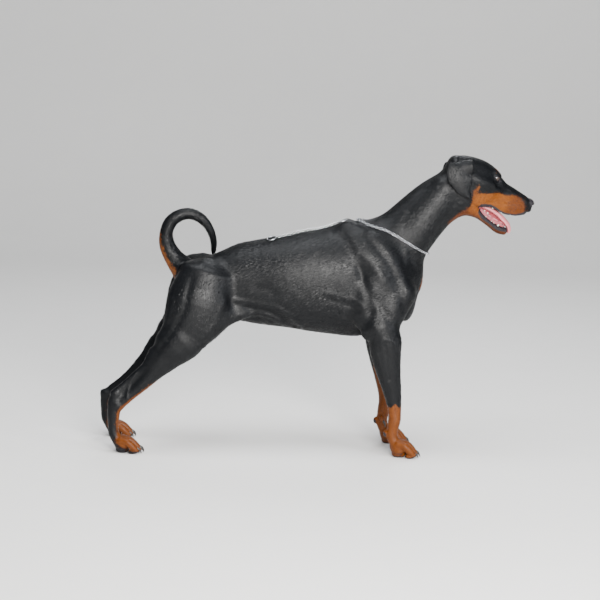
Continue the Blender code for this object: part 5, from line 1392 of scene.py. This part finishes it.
def make_gums(mat):
    half = spline(GUM_ROWS, 10)
    back = half[::-1][1:] * (1, -1, 1, 1, 1)
    rows = np.vstack([half, back])
    swell = 1 + 0.10 * np.sin(np.arange(len(rows)) * 0.22 * math.pi)
    p, q, t = tube_arrays(rows[:, :3], rows[:, 3] * swell, rows[:, 4], 28,
                          np.array([0.0, 0.0, 1.0]), 2.2)
    bed = spline(FLOOR_ROWS, 10)
    below = tube_arrays(bed[:, :3], bed[:, 3], bed[:, 4], 28, np.array([0.0, 0.0, 1.0]), 2.2)
    obj = joined("gums", [(from_head(p), q, t), (from_head(below[0]), *below[1:])])
    obj.data.materials.append(mat)
    return obj


TONGUE_ROWS = [(0.010, 0, -0.0560, 0.0120, 0.0045), (0.045, 0, -0.0516, 0.0158, 0.0066),
               (0.072, 0, -0.0538, 0.0160, 0.0072), (0.094, 0, -0.0592, 0.0160, 0.0072),
               (0.110, 0, -0.0645, 0.0158, 0.0062), (0.1215, 0, -0.0715, 0.0148, 0.0048),
               (0.1290, 0, -0.0802, 0.0112, 0.0036), (0.1322, 0, -0.0878, 0.0055, 0.0026)]


def make_tongue(mat):
    rows = spline(TONGUE_ROWS, 14)
    sides = 48
    p, q, t = tube_arrays(rows[:, :3], rows[:, 3], rows[:, 4], sides, np.array([0.05, 0.0, 1.0]), 2.3)
    k = np.repeat(np.arange(len(rows)), sides)
    along = unit(np.gradient(rows[:, :3], axis=0))
    side = unit(np.cross(along, [0.05, 0.0, 1.0]))
    top = np.cross(side, along)
    off = p[:-2] - rows[k, :3]
    across = (off * side[k]).sum(1) / rows[k, 3]
    far = k / (len(rows) - 1)
    curl = 0.0024 * np.abs(across) ** 2.4 * (1 - far) - 0.0024 * np.exp(-(across / 0.16) ** 2)
    curl -= 0.0062 * np.abs(across) ** 3 * step(far, 0.1, 0.5)
    curl += 0.0006 * np.sin(across * 7 + far * 9) * np.sin(far * 22)
    p[:-2] += top[k] * (curl * step(far, 0.1, 0.4))[:, None]
    obj = build("tongue_flesh", from_head(p), q, t)
    obj.data.materials.append(mat)
    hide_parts("tongue")
    return obj


# The chain collar: links, two rings and the free end along the back
LOOP_CENTRE = np.array([0.243, 0.0, 0.621])
LOOP_NORMAL = np.array([0.413, 0.0, 0.911])
LOOP_ARCH = 0.014
RING_RADIUS = 0.0125
RING_WIRE = 0.0018
LINK_PITCH = 0.0066
LINK_AWAY = 0.0056


def outward(skin, start, direction, clearance, reach=0.25):
    """The spot along a direction where the coat lies at a clearance."""
    p = start + np.linspace(0.01, reach, 600)[:, None] * direction
    return p[np.flatnonzero(skin(p) < clearance)[-1]]


def resample(points, pitch, closed):
    points = np.vstack([points, points[:1]]) if closed else np.array(points)
    run = np.concatenate([[0], np.cumsum(np.linalg.norm(np.diff(points, axis=0), axis=1))])
    count = int(round(run[-1] / pitch / 2)) * 2
    want = np.linspace(0, run[-1], count + 1)
    want = want[:-1] if closed else want
    return np.stack([np.interp(want, run, points[:, i]) for i in range(3)], 1)


def ring_arrays(centre, forward, across, up, length, width, wire):
    """A closed wire of a stadium or round shape."""
    turns, sides = ((24, 9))
    w = 2 * math.pi * np.arange(turns) / turns
    straight_part = max(length - width, 0)
    x = np.cos(w) * width / 2 + np.sign(np.cos(w)) * straight_part / 2 * np.minimum(1, np.abs(np.cos(w)) * 3)
    y = np.sin(w) * width / 2
    line = centre + x[:, None] * forward + y[:, None] * across
    along = unit(np.roll(line, -1, 0) - np.roll(line, 1, 0))
    out = np.cross(along, up)
    v = 2 * math.pi * np.arange(sides) / sides
    points = line[:, None] + wire * (np.cos(v)[None, :, None] * out[:, None] + np.sin(v)[None, :, None] * up)
    k = np.arange(sides)
    quads = np.vstack([np.stack([j * sides + k, j * sides + (k + 1) % sides,
                                 (j + 1) % turns * sides + (k + 1) % sides, (j + 1) % turns * sides + k], 1)
                       for j in range(turns)])
    return points.reshape(-1, 3), quads, np.zeros((0, 3), int)


def links(line, closed, skin):
    """Interlocked links along a line, each turned the other way."""
    ahead = unit(np.roll(line, -1, 0) - np.roll(line, 1, 0)) if closed else unit(np.gradient(line, axis=0))
    out = unit(gradient(skin, line))
    pieces = []
    for i, (p, t, n) in enumerate(zip(line, ahead, out)):
        n = unit(n - (n @ t) * t)
        b = np.cross(t, n)
        w = math.radians(45 if i % 2 else -45)
        across = math.cos(w) * b + math.sin(w) * n
        up = np.cross(t, across)
        pieces.append(ring_arrays(p, t, across, up, 0.0090, 0.0062, 0.00095))
    return pieces


def make_chain(skin, mat):
    normal = unit(LOOP_NORMAL)
    side = np.array([0.0, 1.0, 0.0])
    ahead = unit(np.cross(side, normal))
    loop = np.array([outward(skin, LOOP_CENTRE + [0, 0, LOOP_ARCH * math.sin(w) ** 2],
                             math.cos(w) * ahead + math.sin(w) * side, LINK_AWAY)
                     for w in np.linspace(0, 2 * math.pi, 72, endpoint=False)])
    for _ in range(3):
        loop = (np.roll(loop, 1, 0) + 2 * loop + np.roll(loop, -1, 0)) / 4
    made = [joined("collar_loop_links", links(resample(loop, LINK_PITCH, True), True, skin))]
    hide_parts("collar_loop")

    def on_back(x, y, clearance):
        return outward(skin, np.array([x, y, 0.45]), np.array([0.0, 0.0, 1.0]), clearance)

    spots = {"collar_ring": (0.112, -0.012), "end_ring": (-0.085, -0.022)}
    centres = {}
    for name, (x, y) in spots.items():
        centre = on_back(x, y, RING_WIRE + 0.0022)
        tilt = unit(on_back(x - 0.02, y, 0.004) - on_back(x + 0.02, y, 0.004))
        lean = unit(on_back(x, y - 0.01, 0.004) - on_back(x, y + 0.01, 0.004))
        up = unit(np.cross(lean, tilt))
        up = up if up[2] > 0 else -up
        across = np.cross(up, tilt)
        centres[name] = centre
        obj = joined(name + "_steel", [ring_arrays(centre, tilt, across, up, 2 * RING_RADIUS, 2 * RING_RADIUS,
                                                   RING_WIRE)])
        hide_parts(name)
        made.append(obj)
    first = centres["collar_ring"][0] - RING_RADIUS - 0.002
    last = centres["end_ring"][0] + RING_RADIUS + 0.002
    line = np.array([on_back(first + (last - first) * f, -0.012 - 0.010 * f, LINK_AWAY)
                     for f in np.linspace(0, 1, 40)])
    end = joined("collar_end_links", links(resample(line, LINK_PITCH, False), False, skin))
    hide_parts("collar_end")
    made.append(end)
    for obj in made:
        obj.data.materials.append(mat)
    return made


# Materials
class Look:
    """A material whose nodes are made one call at a time."""

    def __init__(self, name, **fixed):
        self.mat = bpy.data.materials.new(name)
        self.mat.use_nodes = True
        self.tree = self.mat.node_tree
        self.shader = self.tree.nodes["Principled BSDF"]
        for key, value in fixed.items():
            self.shader.inputs[key.replace("_", " ").title().replace("Ior", "IOR")].default_value = value

    def node(self, kind, inputs=(), **settings):
        made = self.tree.nodes.new("ShaderNode" + kind)
        for key, value in settings.items():
            setattr(made, key, value)
        for key, value in dict(inputs).items():
            if isinstance(value, bpy.types.NodeSocket):
                self.tree.links.new(value, made.inputs[key])
            else:
                made.inputs[key].default_value = value
        return made

    def value(self, name):
        return self.node("Attribute", attribute_name=name).outputs["Fac"]

    def vector(self, name):
        return self.node("Attribute", attribute_name=name).outputs["Vector"]

    def math(self, operation, a, b=0.0, clamp=False):
        return self.node("Math", {0: a, 1: b}, operation=operation, use_clamp=clamp).outputs[0]

    def mix(self, share, a, b):
        made = self.node("Mix", data_type="RGBA")
        for key, value in ((0, share), (6, a), (7, b)):
            if isinstance(value, bpy.types.NodeSocket):
                self.tree.links.new(value, made.inputs[key])
            else:
                made.inputs[key].default_value = (*value, 1.0) if isinstance(value, tuple) else value
        return made.outputs[2]

    def blend(self, share, a, b):
        made = self.node("Mix", data_type="FLOAT")
        for key, value in ((0, share), (2, a), (3, b)):
            if isinstance(value, bpy.types.NodeSocket):
                self.tree.links.new(value, made.inputs[key])
            else:
                made.inputs[key].default_value = value
        return made.outputs[0]

    def noise(self, scale, detail=2.0, where=None):
        inputs = {"Scale": scale, "Detail": detail}
        if where is not None:
            inputs["Vector"] = where
        else:
            inputs["Vector"] = self.place()
        return self.node("TexNoise", inputs).outputs["Fac"]

    def place(self):
        return self.node("TexCoord").outputs["Object"]

    def ramp(self, value, low, high):
        made = self.node("MapRange", {"Value": value, "From Min": low, "From Max": high})
        made.interpolation_type = "SMOOTHSTEP"
        return made.outputs["Result"]

    def bump(self, height, distance, strength=1.0, normal=None):
        inputs = {"Height": height, "Distance": distance, "Strength": strength}
        if normal is not None:
            inputs["Normal"] = normal
        return self.node("Bump", inputs).outputs["Normal"]

    def end(self, **outputs):
        for key, value in outputs.items():
            socket = self.shader.inputs[key.replace("_", " ").title()]
            if isinstance(value, bpy.types.NodeSocket):
                self.tree.links.new(value, socket)
            else:
                socket.default_value = (*value, 1.0) if isinstance(value, tuple) else value
        return self.mat


BLACK_DARK = (0.0011, 0.0013, 0.0019)
BLACK_LIGHT = (0.0052, 0.0058, 0.0068)
RUST_LIGHT = (0.235, 0.071, 0.007)
RUST_MAIN = (0.115, 0.027, 0.003)
RUST_DEEP_AND_SHADE = (0.042, 0.009, 0.0015)


def coat_colour(look, rust, deep, streak):
    black = look.mix(streak, BLACK_DARK, BLACK_LIGHT)
    warm = look.mix(streak, RUST_MAIN, RUST_LIGHT)
    # Darker rust where the deep share is high: real at the muzzle's front, painted shade at the throat and the ear's
    # painted shadow on the cheek.
    warm = look.mix(deep, warm, look.mix(streak, RUST_DEEP_AND_SHADE, RUST_MAIN))
    return look.mix(rust, black, warm)


def skin_look():
    look = Look("skin", specular_ior_level=0.19)
    where = look.place()
    shares = []
    for name in ("lie_a", "lie_b"):
        split = look.node("SeparateXYZ", {0: look.vector(name)})
        shares += [split.outputs[0], split.outputs[1], split.outputs[2]]
    shares.append(look.value("lie_c"))
    streak = None
    for k, share in enumerate(shares):
        turn = (0.0, -math.radians(30.0 * k), 0.0) if k < 6 else (0.0, 0.0, math.radians(90.0))
        mapped = look.node("Mapping", {"Vector": where, "Rotation": turn, "Scale": (0.013, 0.0011, 0.0011)},
                           vector_type="TEXTURE").outputs[0]
        part = look.math("MULTIPLY", look.noise(1.0, 2.0, mapped), share)
        streak = part if streak is None else look.math("ADD", streak, part)
    ragged = look.math("MULTIPLY", look.math("SUBTRACT", streak, 0.5), 1.3)
    rust = look.ramp(look.math("ADD", look.value("rust"), ragged), -0.22, 0.22)
    fine = look.ramp(streak, 0.30, 0.70)
    colour = coat_colour(look, rust, look.value("deep"), fine)
    black, pink = look.value("black"), look.value("pink")
    leather = look.mix(look.noise(260.0, 3.0), (0.0060, 0.0054, 0.0066), (0.0260, 0.0220, 0.0270))
    flesh = look.mix(look.noise(120.0, 4.0), (0.20, 0.030, 0.036), (0.40, 0.100, 0.106))
    colour = look.mix(black, colour, leather)
    colour = look.mix(pink, colour, flesh)
    mottle = look.ramp(look.noise(110.0, 2.0), 0.35, 0.65)
    rough = look.blend(look.math("MULTIPLY", look.math("ADD", fine, mottle), 0.5), 0.31, 0.45)
    rough = look.blend(black, rough, look.blend(look.noise(300.0), 0.24, 0.42))
    rough = look.blend(pink, rough, 0.16)
    cells = look.node("TexVoronoi", {"Vector": where, "Scale": 900.0}, feature="DISTANCE_TO_EDGE")
    pebble = look.ramp(cells.outputs["Distance"], 0.0, 0.22)
    height = look.blend(black, streak, look.math("MULTIPLY", pebble, 0.45))
    height = look.blend(pink, height, look.noise(500.0, 2.0))
    return look.end(base_color=colour, roughness=rough, normal=look.bump(height, 0.00040, 0.85))


def coat_look():
    look = Look("coat", specular_ior_level=0.19)
    shade, tip = look.value("shade"), look.value("tip")
    # Lighter towards each lock's tip, darker at its root: painted shade where roots lie under neighbouring locks; shade
    # and strands add random tone.
    fine = look.math("ADD", look.math("MULTIPLY", shade, 0.65), look.math("MULTIPLY", tip, 0.35))
    strands = look.noise(1500.0, 1.0)
    fine = look.math("ADD", fine, look.math("MULTIPLY", look.math("SUBTRACT", strands, 0.5), 0.4), True)
    colour = coat_colour(look, look.value("rust"), look.value("deep"), fine)
    rough = look.blend(shade, 0.44, 0.31)
    return look.end(base_color=colour, roughness=rough, normal=look.bump(strands, 0.0002, 0.4))


def eye_look():
    look = Look("eye", coat_weight=0.5, coat_roughness=0.02, coat_ior=1.38)
    angle = look.value("angle")
    wheel = look.node("Mapping", {"Vector": look.vector("wheel"), "Scale": (9.0, 9.0, 1.0)}).outputs[0]
    rays = look.noise(1.0, 3.0, wheel)
    iris = look.mix(rays, (0.010, 0.0036, 0.0016), (0.050, 0.019, 0.007))
    iris = look.mix(look.ramp(angle, 0.66, 0.82), iris, (0.004, 0.002, 0.0016))
    white = look.mix(look.noise(700.0, 3.0), (0.016, 0.009, 0.009), (0.050, 0.034, 0.034))
    colour = look.mix(look.ramp(angle, 0.22, 0.26), (0.0015, 0.0015, 0.002), iris)
    colour = look.mix(look.ramp(angle, 0.86, 0.96), colour, white)
    return look.end(base_color=colour, roughness=look.blend(rays, 0.18, 0.28),
                    normal=look.bump(look.noise(900.0), 0.00003, 0.3))


def claw_look():
    look = Look("claw", specular_ior_level=0.5)
    where = look.node("Mapping", {"Vector": look.place(), "Scale": (1.0, 6.0, 1.0)}).outputs[0]
    grain = look.noise(700.0, 3.0, where)
    colour = look.mix(grain, (0.0080, 0.0070, 0.0065), (0.034, 0.028, 0.024))
    colour = look.mix(look.ramp(look.value("far"), 0.70, 1.0), colour, (0.060, 0.050, 0.042))
    return look.end(base_color=colour, roughness=look.blend(grain, 0.26, 0.44), normal=look.bump(grain, 0.0001, 0.6))


def tooth_look():
    look = Look("tooth", coat_weight=0.4, coat_roughness=0.08, subsurface_weight=0.0)
    grain = look.noise(220.0, 3.0)
    colour = look.mix(grain, (0.62, 0.56, 0.43), (0.82, 0.79, 0.70))
    return look.end(base_color=colour, roughness=look.blend(grain, 0.16, 0.30), normal=look.bump(grain, 0.00006, 0.4))


def tongue_look():
    look = Look("tongue", coat_weight=0.5, coat_roughness=0.12, specular_ior_level=0.5)
    cells = look.node("TexVoronoi", {"Vector": look.place(), "Scale": 1300.0})
    buds = look.ramp(cells.outputs["Distance"], 0.0, 0.65)
    colour = look.mix(look.noise(70.0, 4.0), (0.44, 0.080, 0.108), (0.66, 0.175, 0.205))
    colour = look.mix(look.math("MULTIPLY", buds, 0.28), colour, (0.78, 0.34, 0.34))
    return look.end(base_color=colour, roughness=look.blend(buds, 0.22, 0.36),
                    normal=look.bump(buds, 0.00022, 0.6))


def gum_look():
    look = Look("gum", coat_weight=0.6, coat_roughness=0.08, specular_ior_level=0.5)
    patches = look.ramp(look.noise(95.0, 3.0), 0.56, 0.66)
    pink = look.mix(look.noise(160.0, 3.0), (0.20, 0.028, 0.038), (0.42, 0.095, 0.112))
    colour = look.mix(patches, pink, (0.035, 0.020, 0.026))
    return look.end(base_color=colour, roughness=0.2, normal=look.bump(look.noise(420.0, 2.0), 0.0004, 0.5))


def steel_look():
    look = Look("steel", metallic=1.0, specular_ior_level=0.5)
    grain = look.noise(900.0, 4.0)
    colour = look.mix(grain, (0.34, 0.35, 0.37), (0.52, 0.53, 0.55))
    return look.end(base_color=colour, roughness=look.blend(grain, 0.13, 0.28), normal=look.bump(grain, 0.00003, 0.3))


# Stage
def floor_look():
    look = Look("floor", specular_ior_level=0.3)
    colour = look.mix(look.noise(9.0, 6.0), (0.84, 0.83, 0.81), (0.87, 0.86, 0.84))
    return look.end(base_color=colour, roughness=0.7, normal=look.bump(look.noise(220.0, 4.0), 0.0003, 0.15))


def make_stage(shift):
    span, back = 9.0, 3.2
    profile = [(-7.0, 0.0)] + [(back + 1.8 * math.sin(w), 1.8 - 1.8 * math.cos(w))
                              for w in np.linspace(0, math.pi / 2, 24)] + [(back + 1.8, 7.0)]
    points = [(x, y, z) for y, z in profile for x in (-span, span)]
    quads = [[2 * i, 2 * i + 1, 2 * i + 3, 2 * i + 2] for i in range(len(profile) - 1)]
    floor = build("floor", np.array(points, float), np.array(quads))
    floor.data.materials.append(floor_look())
    lamps = [("key", (0.6, -3.7, 1.5), 1.5, 300, (1.0, 0.98, 0.95)),
             ("fill", (2.8, -2.6, 1.5), 1.4, 60, (0.92, 0.95, 1.0)),
             ("rim", (0.6, 2.4, 2.8), 1.6, 40, (0.93, 0.96, 1.0)),
             ("top", (-0.2, -0.6, 3.4), 2.2, 130, (0.96, 0.98, 1.0))]
    for name, spot, size, power, colour in lamps:
        data = bpy.data.lights.new(name, "AREA")
        data.shape = "DISK"
        data.size, data.energy, data.color = size, power, colour
        lamp = bpy.data.objects.new(name, data)
        lamp.location = Vector(spot)
        lamp.rotation_mode = "QUATERNION"
        lamp.rotation_quaternion = (Vector((0, 0, 0.45)) - Vector(spot)).to_track_quat("-Z", "Y")
        bpy.context.scene.collection.objects.link(lamp)
    world = bpy.data.worlds.new("studio")
    world.use_nodes = True
    world.node_tree.nodes["Background"].inputs[0].default_value = (0.86, 0.90, 0.96, 1.0)
    world.node_tree.nodes["Background"].inputs[1].default_value = 0.32
    bpy.context.scene.world = world
    az, el, roll = math.radians(-2.0), math.radians(10.0), math.radians(1.7)
    back = Vector((math.sin(az) * math.cos(el), -math.cos(az) * math.cos(el), math.sin(el)))
    right = Vector((math.cos(az), math.sin(az), 0))
    up = back.cross(right)
    right, up = right * math.cos(roll) + up * math.sin(roll), up * math.cos(roll) - right * math.sin(roll)
    camera = bpy.data.objects.new("camera", bpy.data.cameras.new("camera"))
    camera.data.lens, camera.data.sensor_width = 127.66, 36.0
    camera.data.clip_end = 60.0
    spot = Vector((shift[0], shift[1], 0.4275 + shift[2])) + back * 6.0
    turn = Matrix((right, up, back)).transposed().to_4x4()
    camera.matrix_world = Matrix.Translation(spot) @ turn
    bpy.context.scene.collection.objects.link(camera)
    bpy.context.scene.camera = camera


FLESH = [name for name in sorted(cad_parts) if name.startswith(
    ("belly", "chest", "neck", "pelvis", "head", "lower_jaw", "nose", "ear_", "tail_", "forearm", "front_paw", "thigh",
     "shank", "metatarsus", "hind_paw"))]


def main():
    low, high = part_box("eye_right")
    eye = from_head((EYE_CENTRE[0], -EYE_CENTRE[1], EYE_CENTRE[2]))
    shift = (np.array(low) + np.array(high)) / 2 - eye
    skin = Skin()
    parts = regions(skin)
    hide = make_skin(skin, parts)
    hide.obj.data.materials.append(skin_look())
    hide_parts(*FLESH)
    coat = make_coat(skin, parts, hide, coat_look())
    horn, globe = claw_look(), eye_look()
    claws = make_claws(horn)
    eyes = [make_eye("eye_right", -1, globe), make_eye("eye_left", 1, globe)]
    tongue = make_tongue(tongue_look())
    teeth = make_teeth(tooth_look())
    gums = make_gums(gum_look())
    chain = make_chain(skin, steel_look())
    for obj in [hide.obj, *coat, *claws, *eyes, tongue, teeth, gums, *chain]:
        obj.location = Vector(shift)
        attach(obj, "root")
    make_stage(shift)


main()
